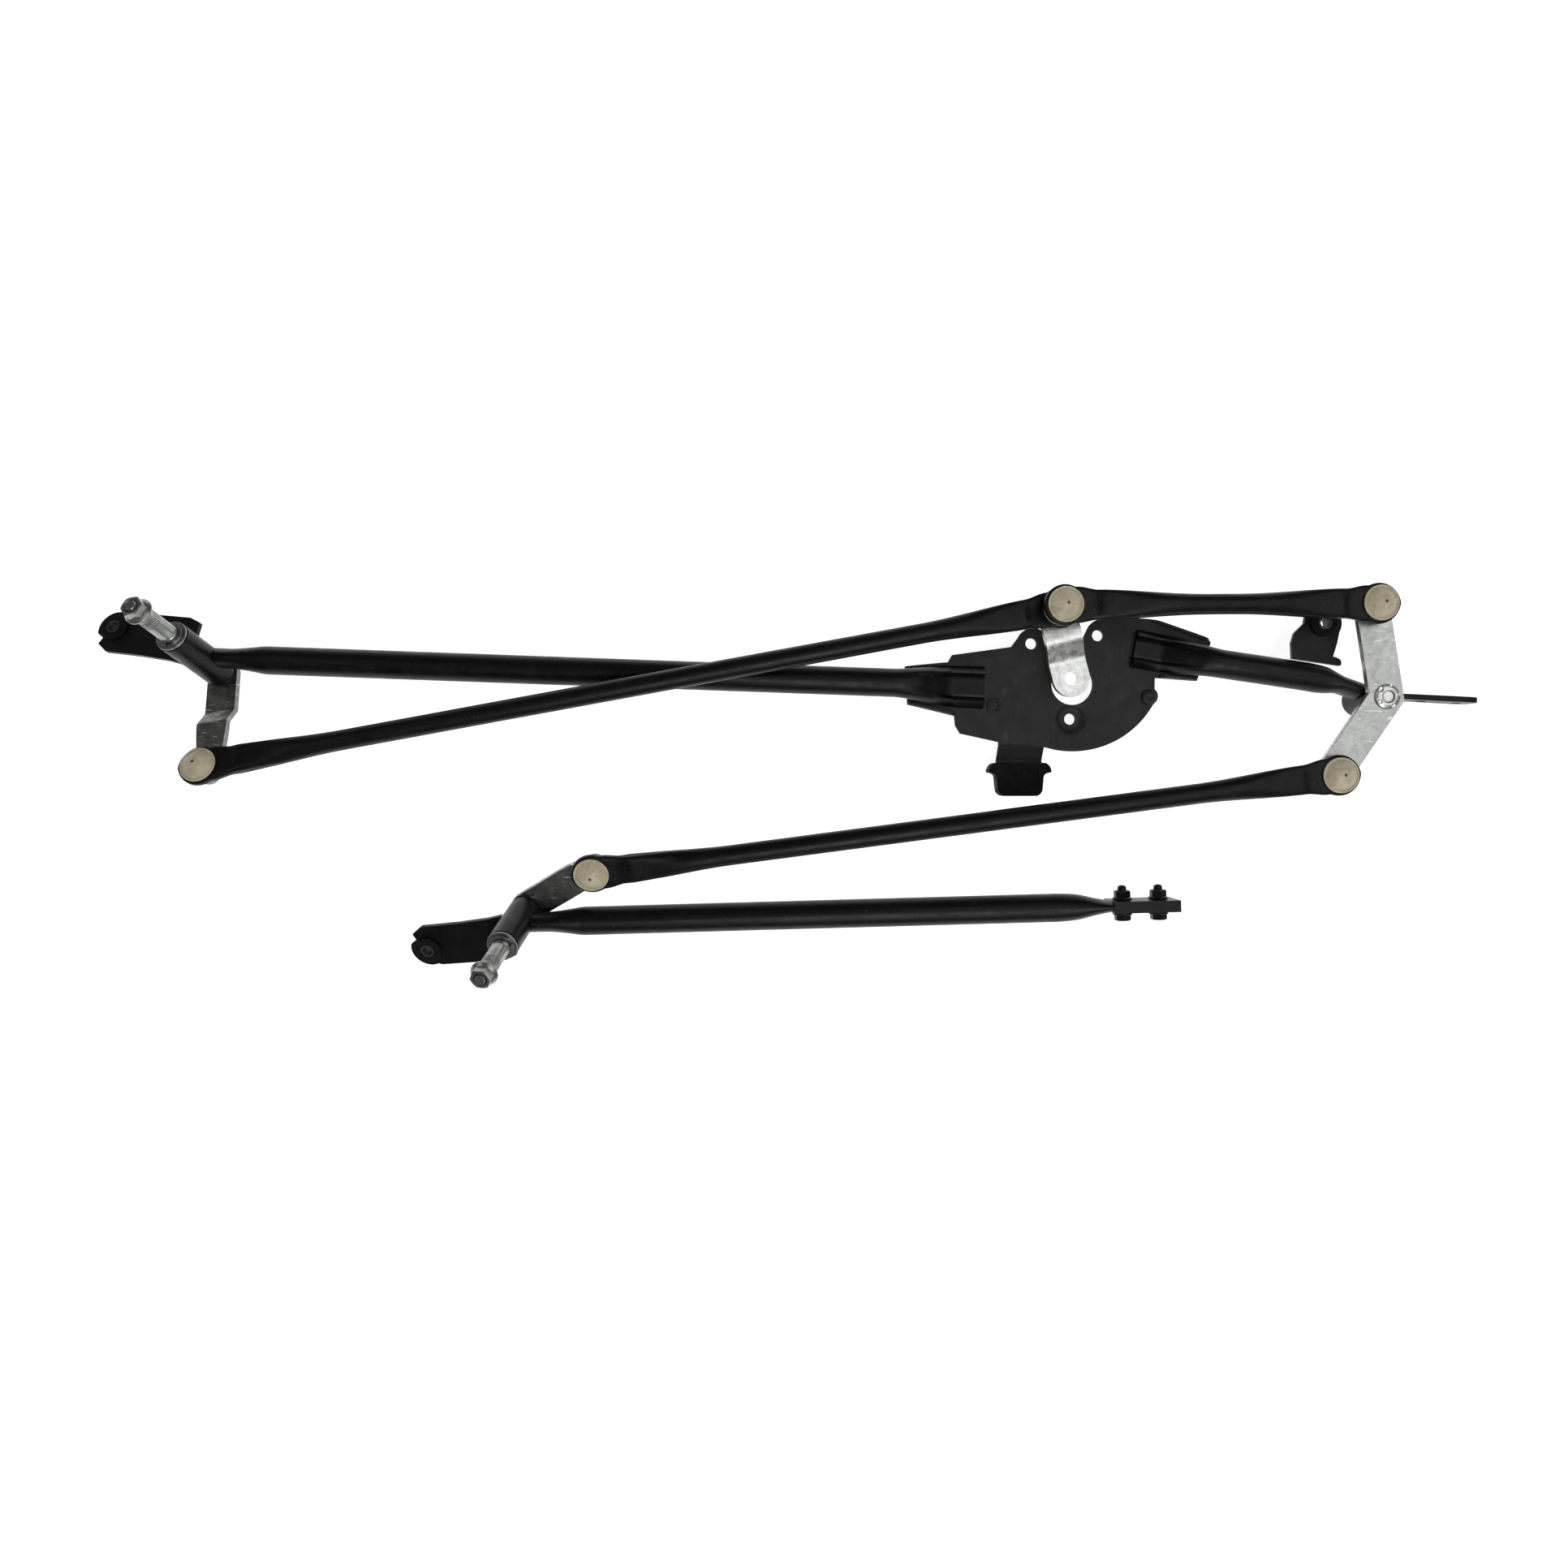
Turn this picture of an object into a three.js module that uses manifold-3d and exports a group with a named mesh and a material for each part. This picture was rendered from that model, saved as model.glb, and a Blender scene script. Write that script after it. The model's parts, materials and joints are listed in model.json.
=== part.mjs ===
// Two-pivot windshield wiper linkage, without its motor, in its folded shipping state.
// Millimetres, +Z up. Origin: the motor axis where it meets the top face of the motor plate.
// +X runs along the frame from the left pivot to the bellcrank, and +Y points away from the folded module.

import * as THREE from "three";
import { mergeVertices } from "three/addons/utils/BufferGeometryUtils.js";
import Module from "manifold-3d";

const wasm = await Module();
wasm.setup();

// ---------------------------------------------------------------- driving dimensions

const GAP = 0.3;
const ROUND_SIDES = 14;
const FINE_SIDES = 18;

const PLATE_THICK = 3;
const MOTOR_HOLE = { x: 4, y: -2.9, radius: 14.8 };
const MOTOR_SCREW_RADIUS = 4;
const MOTOR_SCREWS = [[-25.4, 26.0], [22.2, 31.8], [2.9, -27.8]];
const TUBE_RADIUS = 10;
const TUBE_AXIS_Z = TUBE_RADIUS + GAP;

const LEFT_PIVOT = new THREE.Vector3(-606.8, 6.9, 0);
const LEFT_AXIS = new THREE.Vector3(-0.125, 0.355, 0.9265).normalize();
const LEFT_BALL = new THREE.Vector3(-598.3, -62.1, 40);
const SECOND_PIVOT = new THREE.Vector3(-385.3, -161.9, 0);
const SECOND_AXIS = new THREE.Vector3(-0.12, -0.413, 0.903).normalize();
const SECOND_BALL = new THREE.Vector3(-334.1, -135.8, 31);
const SECOND_TUBE_Z = 12;

const CRANK_LOW_BALL = new THREE.Vector3(-12, 46.9, 28.6);
const CRANK_TOP_BALL = new THREE.Vector3(-12, 46.9, 42.6);
const CRANK_HUB_Z = 8;
const CRANK_JOGGLE = 7.4;
const CRANK_THICK = 5;
const CRANK_HALF_WIDTH = 13;
const CRANK_RAMP = { from: 12.5, to: 26.4 };
const CRANK_BORE_RADIUS = 5.2;

const BELLCRANK_AXIS = new THREE.Vector3(212.5, -14.3, 0);
const BELLCRANK_TOP_BALL = new THREE.Vector3(202.9, 48.7, 38);
const BELLCRANK_LOW_BALL = new THREE.Vector3(175.6, -68.4, 38);
const BELLCRANK_PLATE_Z = 25;
const BELLCRANK_THICK = 4.6;
const BELLCRANK_HALF_WIDTH = 11.75;
const BELLCRANK_BARREL = { radius: 11.5, low: -10, high: 24 };

const BALL_RADIUS = 6.5;
const NECK_RADIUS = 4.2;
const NECK_ANGLE = Math.acos(NECK_RADIUS / BALL_RADIUS);
const STUD_SHANK = 4;
const STUD_HOLE = STUD_SHANK + GAP;
const CUP = { cavity: 6.8, body: 10.2, rim: 12.5, skirtLow: -7.2, rimLow: 1.6, rimHigh: 3.2, top: 8.8 };
const EYE = { outer: 14, bore: 10.5, low: -4.3, high: 1.3 };
const ROD_RADIUS = 7;
const ROD_DROP = 1.5;
const ROD_FLAT = { halfWidth: 9.2, halfHeight: 2.8, length: 55, morph: 32 };

const LEVER_THICK = 4.5;
const LEVER_HALF_WIDTH = 11.5;
const LEVER_RAMP = { from: 30, to: 42 };
const LEFT_LEVER = { base: -9, outer: 0.2 };
const SECOND_LEVER = { base: 0, outer: 0 };
const SPINDLE_RADIUS = 6;
const SPINDLE_END = 92;
const BARREL_RADIUS = 11;
const BARREL_BORE = 8.4;
const BARREL_TOP = 50;
const BARREL_CLEARANCE = 3;
const BRACKET_HEIGHT = 22;
const BRACKET_THICK = 3;
const BRACKET_HOLE = { x: -66.5, y: 25, radius: 7.5 };

const RIGHT_MOUNT = { x: 177.6, y: 39, radius: 13.2, low: 8.5 };

const BLADE = { thick: 4, halfHeight: 10, holeRadius: 3.4, firstHole: 253, pitch: 25.5 };
const SOCKET = { halfThick: 4.1, halfHeight: 12.5, slotHalf: 2.6, slotHalfHeight: 10.6, depth: 46 };
const SPLICE_END = new THREE.Vector3(73, -158.9, SECOND_TUBE_Z);
const SPLICE_HEADING = Math.atan2(1.2, 44.5);
const SPLICE_BOLTS = [-37, -11.7];

const FOOT_TAB = { x0: -48.6, x1: -15.8, y0: -46, bendY: -57, endY: -79, drop: 9 };

// ---------------------------------------------------------------- solids

const root = new THREE.Group();

function solidOf(geometry) {
  const bare = geometry.clone();
  bare.deleteAttribute("normal");
  bare.deleteAttribute("uv");
  const merged = mergeVertices(bare, 1e-4);
  return new wasm.Manifold(new wasm.Mesh({
    numProp: 3,
    vertProperties: merged.attributes.position.array,
    triVerts: new Uint32Array(merged.index.array),
  }));
}

function geometryOf(solid) {
  const mesh = solid.getMesh();
  const geometry = new THREE.BufferGeometry();
  geometry.setAttribute("position", new THREE.BufferAttribute(new Float32Array(mesh.vertProperties), 3));
  geometry.setIndex(new THREE.BufferAttribute(new Uint32Array(mesh.triVerts), 1));
  const flat = geometry.toNonIndexed();
  flat.computeVertexNormals();
  return flat;
}

function join(first, ...others) {
  return geometryOf(others.reduce((sum, other) => sum.add(solidOf(other)), solidOf(first)));
}

function cut(first, ...tools) {
  return geometryOf(tools.reduce((rest, tool) => rest.subtract(solidOf(tool)), solidOf(first)));
}

function common(first, second) {
  return geometryOf(solidOf(first).intersect(solidOf(second)));
}

// A solid of revolution about Z; the profile is [radius, z] pairs, anticlockwise round the material.
function turned(profile, sides = ROUND_SIDES) {
  const points = profile.map(([r, z]) => new THREE.Vector2(r, z));
  return new THREE.LatheGeometry(points, sides).rotateX(Math.PI / 2);
}

function disc(radius, low, high, sides = ROUND_SIDES) {
  return turned([[0, low], [radius, low], [radius, high], [0, high]], sides);
}

function ring(inner, outer, low, high, sides = ROUND_SIDES) {
  return turned([[inner, low], [outer, low], [outer, high], [inner, high], [inner, low]], sides);
}

function slab(shape, low, high, curveSegments = 8) {
  return new THREE.ExtrudeGeometry(shape, { depth: high - low, bevelEnabled: false, curveSegments })
    .translate(0, 0, low);
}

function polygon(points) {
  return new THREE.Shape(points.map(([x, y]) => new THREE.Vector2(x, y)));
}

function box(x0, x1, y0, y1, z0, z1) {
  return new THREE.BoxGeometry(x1 - x0, y1 - y0, z1 - z0)
    .translate((x0 + x1) / 2, (y0 + y1) / 2, (z0 + z1) / 2);
}

function hexagon(acrossFlats, low, high) {
  return new THREE.CylinderGeometry(acrossFlats / Math.sqrt(3), acrossFlats / Math.sqrt(3), high - low, 6)
    .rotateX(Math.PI / 2).translate(0, 0, (low + high) / 2);
}

// A strap of one width whose ends are round: two circles' common outline, from (0, 0) to (length, 0).
function strapOutline(length, halfWidth) {
  const shape = new THREE.Shape();
  shape.absarc(0, 0, halfWidth, Math.PI / 2, -Math.PI / 2, false);
  shape.absarc(length, 0, halfWidth, -Math.PI / 2, Math.PI / 2, false);
  return shape;
}

// A skin through closed rings of points; each end is capped from the middle between its top and its sole.
function loft(rings) {
  const sides = rings[0].length;
  const middleOf = (points) => points[sides / 4].clone().add(points[3 * sides / 4]).multiplyScalar(0.5);
  const points = [...rings.flat(), middleOf(rings[0]), middleOf(rings.at(-1))];
  const faces = [];
  for (let r = 0; r + 1 < rings.length; r++) {
    for (let s = 0; s < sides; s++) {
      const a = r * sides + s;
      const b = r * sides + (s + 1) % sides;
      faces.push(a, b, b + sides, a, b + sides, a + sides);
    }
  }
  const last = (rings.length - 1) * sides;
  const capCentre = rings.length * sides;
  for (let s = 0; s < sides; s++) {
    const next = (s + 1) % sides;
    faces.push(capCentre, next, s);
    faces.push(capCentre + 1, last + s, last + next);
  }
  const geometry = new THREE.BufferGeometry();
  const coordinates = points.flatMap((p) => [p.x, p.y, p.z]);
  geometry.setAttribute("position", new THREE.Float32BufferAttribute(coordinates, 3));
  geometry.setIndex(faces);
  return geometry;
}

// Rings for a tube along a path; section(station, angle) gives the sideways and upward offsets.
function tubeRings(path, section, sides = 16) {
  return path.map(({ at, heading, ...station }) => {
    const across = new THREE.Vector3(-Math.sin(heading), Math.cos(heading), 0);
    const points = [];
    for (let s = 0; s < sides; s++) {
      const [side, up] = section(station, 2 * Math.PI * s / sides);
      points.push(at.clone().addScaledVector(across, side).add(new THREE.Vector3(0, 0, up)));
    }
    return points;
  });
}

// A tube's section: half width and half height, then how far it is crushed into two ridges on a flat sole.
function crushedSection({ wide, high, crush = 0 }, angle) {
  const side = wide * Math.cos(angle);
  const round = high * Math.sin(angle);
  const ridged = Math.sin(angle) < 0
    ? -TUBE_RADIUS
    : -TUBE_RADIUS + 2.5 + 5 * Math.abs(Math.sin(2 * angle));
  return [side, round * (1 - crush) + ridged * crush];
}

function smooth(t) {
  const u = Math.min(Math.max(t, 0), 1);
  return u * u * (3 - 2 * u);
}

// ---------------------------------------------------------------- finishes

const FINISH = {
  paint: { color: 0x101010, roughness: 0.38, metalness: 0 },
  platePaint: { color: 0x1b1a19, roughness: 0.5, metalness: 0 },
  brightZinc: { color: 0xc9ccc9, roughness: 0.32, metalness: 1 },
  darkZinc: { color: 0x5d615e, roughness: 0.42, metalness: 1 },
  steel: { color: 0x9aa09d, roughness: 0.3, metalness: 1 },
  plastic: { color: 0xb3ae98, roughness: 0.5, metalness: 0 },
  rubber: { color: 0x121212, roughness: 0.9, metalness: 0 },
  bronze: { color: 0x8a6a3c, roughness: 0.5, metalness: 1 },
};

function put(parent, name, finish, geometry) {
  const mesh = new THREE.Mesh(geometry, new THREE.MeshStandardMaterial(FINISH[finish]));
  mesh.name = name;
  parent.add(mesh);
  return mesh;
}

// A group whose Z runs along axis and whose X points from origin towards target.
function frameAt(origin, axis, target) {
  const group = new THREE.Group();
  const x = target.clone().sub(origin);
  x.addScaledVector(axis, -x.dot(axis)).normalize();
  const y = axis.clone().cross(x);
  group.matrix.makeBasis(x, y, axis);
  group.matrix.decompose(group.position, group.quaternion, group.scale);
  group.position.copy(origin);
  root.add(group);
  return group;
}

const UP = new THREE.Vector3(0, 0, 1);

// ---------------------------------------------------------------- ball joints

function closedCup() {
  const { cavity, body, rim, skirtLow, rimLow, rimHigh, top } = CUP;
  const mouth = Math.asin(-4 / cavity);
  const profile = [[0, cavity]];
  const steps = 4;
  for (let i = 1; i <= steps; i++) {
    const angle = Math.PI / 2 + (mouth - Math.PI / 2) * i / steps;
    profile.push([cavity * Math.cos(angle), cavity * Math.sin(angle)]);
  }
  profile.push([7.6, skirtLow], [9.2, skirtLow], [body, skirtLow + 1], [body, rimLow], [rim, rimLow]);
  profile.push([rim, rimHigh], [11.4, rimHigh + 0.6], [7, top - 1.2], [0, top]);
  return turned(profile, FINE_SIDES);
}

// The lower cup of the double stud is open at the top, where the stud goes on to the second ball.
function openCup() {
  const { cavity, body, rim, skirtLow, rimLow, rimHigh } = CUP;
  const mouth = Math.asin(4 / cavity);
  const profile = [];
  const steps = 4;
  for (let i = 0; i <= steps; i++) {
    const angle = mouth * (1 - 2 * i / steps);
    profile.push([cavity * Math.cos(angle), cavity * Math.sin(angle)]);
  }
  profile.push([7.6, skirtLow], [9.2, skirtLow], [body, skirtLow + 1], [body, rimLow], [rim, rimLow]);
  profile.push([rim, rimHigh], [7.4, 5], profile[0]);
  return turned(profile, FINE_SIDES);
}

function ballArc(from, to, steps) {
  const points = [];
  for (let i = 0; i <= steps; i++) {
    const angle = from + (to - from) * i / steps;
    points.push([BALL_RADIUS * Math.cos(angle), BALL_RADIUS * Math.sin(angle)]);
  }
  return points;
}

// A ball stud riveted through a plate; plateTop and plateLow are measured from the ball's centre.
function ballStud(plateTop, plateLow) {
  return turned([
    [0, plateLow - 2.4], [5, plateLow - 2.4], [6.2, plateLow - 1.4], [6.2, plateLow - GAP],
    [STUD_SHANK, plateLow - GAP], [STUD_SHANK, plateTop + GAP], [5.6, plateTop + GAP],
    [5.6, plateTop + 0.9], [NECK_RADIUS, plateTop + 1.6],
    ...ballArc(-NECK_ANGLE, Math.PI / 2, 5).slice(0, -1), [0, BALL_RADIUS],
  ]);
}

// ---------------------------------------------------------------- rods

// A link rod: a tube whose ends are pressed flat and pierced with an eye for a plastic cup.
function linkRod(from, to, fromAxis, toAxis) {
  const along = to.clone().sub(from);
  const length = along.length();
  const x = along.clone().normalize();
  const y = UP.clone().cross(x).normalize();
  const z = x.clone().cross(y);
  const rollOf = (axis) => Math.atan2(-axis.dot(y), axis.dot(z));
  const rolls = [rollOf(fromAxis), rollOf(toAxis)];
  const { halfWidth, halfHeight, length: flat, morph } = ROD_FLAT;
  const start = EYE.bore + 1.5;
  const eased = (d) => smooth((d - flat + morph / 2) / morph);
  const distances = [start, flat - morph / 2, flat - morph / 6, flat + morph / 6, flat + morph / 2];
  const stations = [...distances, ...distances.map((d) => length - d).reverse()];
  const rings = stations.map((d) => {
    const near = Math.min(d, length - d);
    const roundness = eased(near);
    const roll = (d < length / 2 ? rolls[0] : rolls[1]) * (1 - roundness);
    const wide = halfWidth + (ROD_RADIUS - halfWidth) * roundness;
    const high = halfHeight + (ROD_RADIUS - halfHeight) * roundness;
    const squareness = 1 - roundness;
    const points = [];
    for (let s = 0; s < 12; s++) {
      const angle = 2 * Math.PI * s / 12;
      const power = 1 - 0.45 * squareness;
      const side = wide * Math.sign(Math.cos(angle)) * Math.abs(Math.cos(angle)) ** power;
      const up = high * Math.sign(Math.sin(angle)) * Math.abs(Math.sin(angle)) ** power;
      points.push(new THREE.Vector3(
        d,
        side * Math.cos(roll) - up * Math.sin(roll),
        side * Math.sin(roll) + up * Math.cos(roll) - ROD_DROP,
      ));
    }
    return points;
  });
  const eyes = rolls.map((roll, i) => {
    const place = (geometry) => geometry.rotateX(roll).translate(i * length, 0, 0);
    return { rim: place(disc(EYE.outer, EYE.low, EYE.high, FINE_SIDES)),
      bore: place(disc(EYE.bore, EYE.low - 3, EYE.high + 3, FINE_SIDES)) };
  });
  const solid = cut(join(loft(rings), eyes[0].rim, eyes[1].rim), eyes[0].bore, eyes[1].bore);
  const basis = new THREE.Matrix4().makeBasis(x, y, z).setPosition(from);
  return solid.applyMatrix4(basis);
}

// The axis a cup takes in its rod's eye: the stud's axis, turned square to the rod.
function eyeAxis(from, to, studAxis) {
  const x = to.clone().sub(from).normalize();
  return studAxis.clone().addScaledVector(x, -studAxis.dot(x)).normalize();
}

function addCup(name, geometry, centre, from, to, studAxis) {
  put(frameAt(centre, eyeAxis(from, to, studAxis), to.clone().add(to).sub(from)), name, "plastic", geometry);
}

function addLongRod() {
  const studTilt = LEFT_AXIS;
  put(root, "long_rod", "paint", linkRod(LEFT_BALL, CRANK_LOW_BALL, studTilt, UP));
  addCup("long_rod_cup_left", closedCup(), LEFT_BALL, LEFT_BALL, CRANK_LOW_BALL, studTilt);
  addCup("long_rod_cup_crank", openCup(), CRANK_LOW_BALL, LEFT_BALL, CRANK_LOW_BALL, UP);
}

function addShortRod() {
  put(root, "short_rod", "paint", linkRod(CRANK_TOP_BALL, BELLCRANK_TOP_BALL, UP, UP));
  addCup("short_rod_cup_crank", closedCup(), CRANK_TOP_BALL, CRANK_TOP_BALL, BELLCRANK_TOP_BALL, UP);
  addCup("short_rod_cup_bellcrank", closedCup(), BELLCRANK_TOP_BALL, CRANK_TOP_BALL, BELLCRANK_TOP_BALL, UP);
  // The double stud's upper ball, parted from the lower one at the waist between the two cups.
  const waist = CRANK_LOW_BALL.z - CRANK_TOP_BALL.z + 7.5;
  put(root, "crank_stud_upper_ball", "steel", turned([
    [0, waist], [NECK_RADIUS, waist], ...ballArc(-NECK_ANGLE, Math.PI / 2, 5).slice(0, -1), [0, BALL_RADIUS],
  ])).position.copy(CRANK_TOP_BALL);
}

function addLowerRod() {
  put(root, "lower_rod", "paint", linkRod(SECOND_BALL, BELLCRANK_LOW_BALL, SECOND_AXIS, UP));
  addCup("lower_rod_cup_second", closedCup(), SECOND_BALL, SECOND_BALL, BELLCRANK_LOW_BALL, SECOND_AXIS);
  addCup("lower_rod_cup_bellcrank", closedCup(), BELLCRANK_LOW_BALL, SECOND_BALL, BELLCRANK_LOW_BALL, UP);
}

// ---------------------------------------------------------------- crank

// A strap seen from its side: a flat inner part at base, a ramp, then a flat outer part, all one thickness.
function joggledStrap(length, halfWidth, base, rise, thick, rampFrom, rampTo) {
  const overhang = halfWidth + 2;
  const side = polygon([
    [-overhang, base], [rampFrom, base], [rampTo, base + rise], [length + overhang, base + rise],
    [length + overhang, base + rise + thick], [rampTo - 0.6, base + rise + thick],
    [rampFrom - 0.6, base + thick], [-overhang, base + thick],
  ]);
  const wide = new THREE.ExtrudeGeometry(side, { depth: 2 * overhang, bevelEnabled: false })
    .rotateX(Math.PI / 2).translate(0, overhang, 0);
  return common(wide, slab(strapOutline(length, halfWidth), base - 5, base + rise + thick + 5, 10));
}

function addCrank() {
  const reach = Math.hypot(CRANK_LOW_BALL.x, CRANK_LOW_BALL.y);
  const crank = frameAt(new THREE.Vector3(), UP, new THREE.Vector3(CRANK_LOW_BALL.x, CRANK_LOW_BALL.y, 0));
  const arm = joggledStrap(reach, CRANK_HALF_WIDTH, CRANK_HUB_Z, CRANK_JOGGLE, CRANK_THICK,
    CRANK_RAMP.from, CRANK_RAMP.to);
  put(crank, "crank_arm", "brightZinc", cut(arm, disc(CRANK_BORE_RADIUS, 0, 30),
    disc(STUD_HOLE, 0, 40).translate(reach, 0, 0)));
  const plateLow = CRANK_HUB_Z + CRANK_JOGGLE - CRANK_LOW_BALL.z;
  const plateTop = plateLow + CRANK_THICK;
  const waistEnd = 5;
  put(root, "crank_stud", "steel", turned([
    [0, plateLow - 2.4], [5, plateLow - 2.4], [6.2, plateLow - 1.4], [6.2, plateLow - GAP],
    [STUD_SHANK, plateLow - GAP], [STUD_SHANK, plateTop + GAP], [5.6, plateTop + GAP], [5.6, plateTop + 0.9],
    ...ballArc(-NECK_ANGLE, NECK_ANGLE, 5), [NECK_RADIUS, waistEnd], [0, waistEnd],
  ])).position.copy(CRANK_LOW_BALL);
}

// ---------------------------------------------------------------- bellcrank

function bellcrankOutline() {
  const arms = [BELLCRANK_TOP_BALL, BELLCRANK_LOW_BALL].map((ball) => {
    const x = ball.x - BELLCRANK_AXIS.x;
    const y = ball.y - BELLCRANK_AXIS.y;
    return { reach: Math.hypot(x, y), heading: Math.atan2(y, x) };
  });
  const [upper, lower] = arms;
  const middle = (upper.heading + lower.heading) / 2;
  const mitre = BELLCRANK_HALF_WIDTH / Math.sin((upper.heading - lower.heading) / 2);
  const shape = new THREE.Shape();
  const endArc = ({ reach, heading }) => shape.absarc(reach * Math.cos(heading), reach * Math.sin(heading),
    BELLCRANK_HALF_WIDTH, heading - Math.PI / 2, heading + Math.PI / 2, false);
  endArc(upper);
  shape.lineTo(-mitre * Math.cos(middle), -mitre * Math.sin(middle));
  endArc(lower);
  shape.lineTo(mitre * Math.cos(middle), mitre * Math.sin(middle));
  shape.closePath();
  return shape;
}

function addBellcrank() {
  const centre = new THREE.Group();
  centre.position.copy(BELLCRANK_AXIS);
  root.add(centre);
  const top = BELLCRANK_PLATE_Z + BELLCRANK_THICK;
  const holes = [BELLCRANK_TOP_BALL, BELLCRANK_LOW_BALL].map((ball) => disc(STUD_HOLE, 0, 60)
    .translate(ball.x - BELLCRANK_AXIS.x, ball.y - BELLCRANK_AXIS.y, 0));
  put(centre, "bellcrank_plate", "brightZinc",
    cut(slab(bellcrankOutline(), BELLCRANK_PLATE_Z, top, 10), disc(SPINDLE_RADIUS + GAP, 0, 60), ...holes));
  const { radius, low, high } = BELLCRANK_BARREL;
  put(centre, "bellcrank_pin", "brightZinc", turned([
    [0, low - 3.6], [7.5, low - 3.6], [7.5, low - 2.1], [SPINDLE_RADIUS, low - 2.1],
    [SPINDLE_RADIUS, top + GAP],
    [8.6, top + GAP], [8.2, top + 1.6], [4.5, top + 2.4], [0, top + 1.4],
  ]));
  put(centre, "bellcrank_retaining_clip", "steel", ring(SPINDLE_RADIUS + GAP, 9, low - 1.6, low - GAP));
  put(centre, "bellcrank_barrel", "paint", turned([
    [BARREL_BORE, low], [radius + 1.5, low], [radius + 1.5, low + 3], [radius, low + 4], [radius, high],
    [BARREL_BORE, high], [BARREL_BORE, low],
  ], FINE_SIDES));
  put(centre, "bellcrank_bush", "bronze",
    ring(SPINDLE_RADIUS + GAP, BARREL_BORE - GAP, low + 0.5, high - 0.4));
  const stud = ballStud(top - BELLCRANK_TOP_BALL.z, BELLCRANK_PLATE_Z - BELLCRANK_TOP_BALL.z);
  put(root, "bellcrank_stud_upper", "steel", stud.clone()).position.copy(BELLCRANK_TOP_BALL);
  put(root, "bellcrank_stud_lower", "steel", stud.clone()).position.copy(BELLCRANK_LOW_BALL);
}

function bladeHoles() {
  return [0, 1].map((i) => disc(BLADE.holeRadius, -20, 20, 12).rotateX(Math.PI / 2)
    .translate(BLADE.firstHole + i * BLADE.pitch, 0, 0));
}

function addSpliceBlade() {
  const start = BELLCRANK_AXIS.x + BELLCRANK_BARREL.radius + 2;
  const end = 290;
  const droop = Math.atan2(2.4, 50);
  const side = new THREE.Shape();
  side.moveTo(start, -BLADE.halfHeight + 4);
  side.lineTo(end - 6, -BLADE.halfHeight);
  side.absarc(end - 6, -BLADE.halfHeight + 6, 6, -Math.PI / 2, 0, false);
  side.absarc(end - 6, BLADE.halfHeight - 6, 6, 0, Math.PI / 2, false);
  side.lineTo(start, BLADE.halfHeight);
  const blade = new THREE.ExtrudeGeometry(side, { depth: BLADE.thick, bevelEnabled: false, curveSegments: 4 })
    .rotateX(Math.PI / 2).translate(0, BLADE.thick / 2, 0);
  const flat = cut(blade, ...bladeHoles());
  put(root, "splice_blade", "paint", flat.translate(-start, 0, 0).rotateZ(-droop).translate(start, -12, 0));
}

// ---------------------------------------------------------------- motor plate and its rubber foot

function plateOutline() {
  const shape = new THREE.Shape();
  shape.moveTo(-115.6, 9.8);
  shape.lineTo(-113.8, -17.5);
  shape.lineTo(-80.2, -25.6);
  shape.lineTo(-79.6, -32.5);
  shape.lineTo(-76.1, -38.3);
  shape.lineTo(-49.5, -44.1);
  shape.lineTo(-14.7, -48.2);
  shape.absarc(4.5, 15, 66, Math.atan2(-63.2, -19.2), Math.atan2(-32.8, 57.4), false);
  shape.absarc(59, -11.5, 6.4, -0.9, 0.9, false);
  shape.lineTo(63.1, 1.6);
  shape.lineTo(93.2, -0.6);
  shape.lineTo(103.1, 26.6);
  shape.lineTo(101.3, 29.5);
  shape.lineTo(61.3, 43.4);
  shape.lineTo(47.4, 44.6);
  shape.absarc(26, 31.8, 12, 1.35, 2.75, false);
  shape.lineTo(9.5, 25);
  shape.lineTo(3, 22.4);
  shape.lineTo(-8, 22.4);
  shape.absarc(-24.1, 25.9, 11.4, 0.25, 2.75, false);
  shape.lineTo(-39.6, 23.7);
  shape.lineTo(-81.9, 17.9);
  shape.lineTo(-84.8, 12.7);
  shape.closePath();
  return shape;
}

function footTab() {
  const { x0, x1, y0, bendY, endY, drop } = FOOT_TAB;
  const side = polygon([
    [y0 + 6, 0], [y0 + 6, -PLATE_THICK], [y0 - 0.6, -PLATE_THICK], [bendY - 0.6, -drop - PLATE_THICK],
    [endY, -drop - PLATE_THICK], [endY, -drop], [bendY, -drop], [y0, 0],
  ]);
  const strip = new THREE.ExtrudeGeometry(side, { depth: x1 - x0, bevelEnabled: false });
  strip.applyMatrix4(new THREE.Matrix4().makeBasis(
    new THREE.Vector3(0, 1, 0), UP, new THREE.Vector3(1, 0, 0)));
  return strip.translate(x0, 0, 0);
}

// A low wall that stiffens an edge of the plate's lug, between two points of its outline.
function edgeWall(x0, y0, x1, y1, height) {
  const length = Math.hypot(x1 - x0, y1 - y0);
  return box(0, length, 0, 1.8, -1, height).rotateZ(Math.atan2(y1 - y0, x1 - x0)).translate(x0, y0, 0);
}

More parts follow.
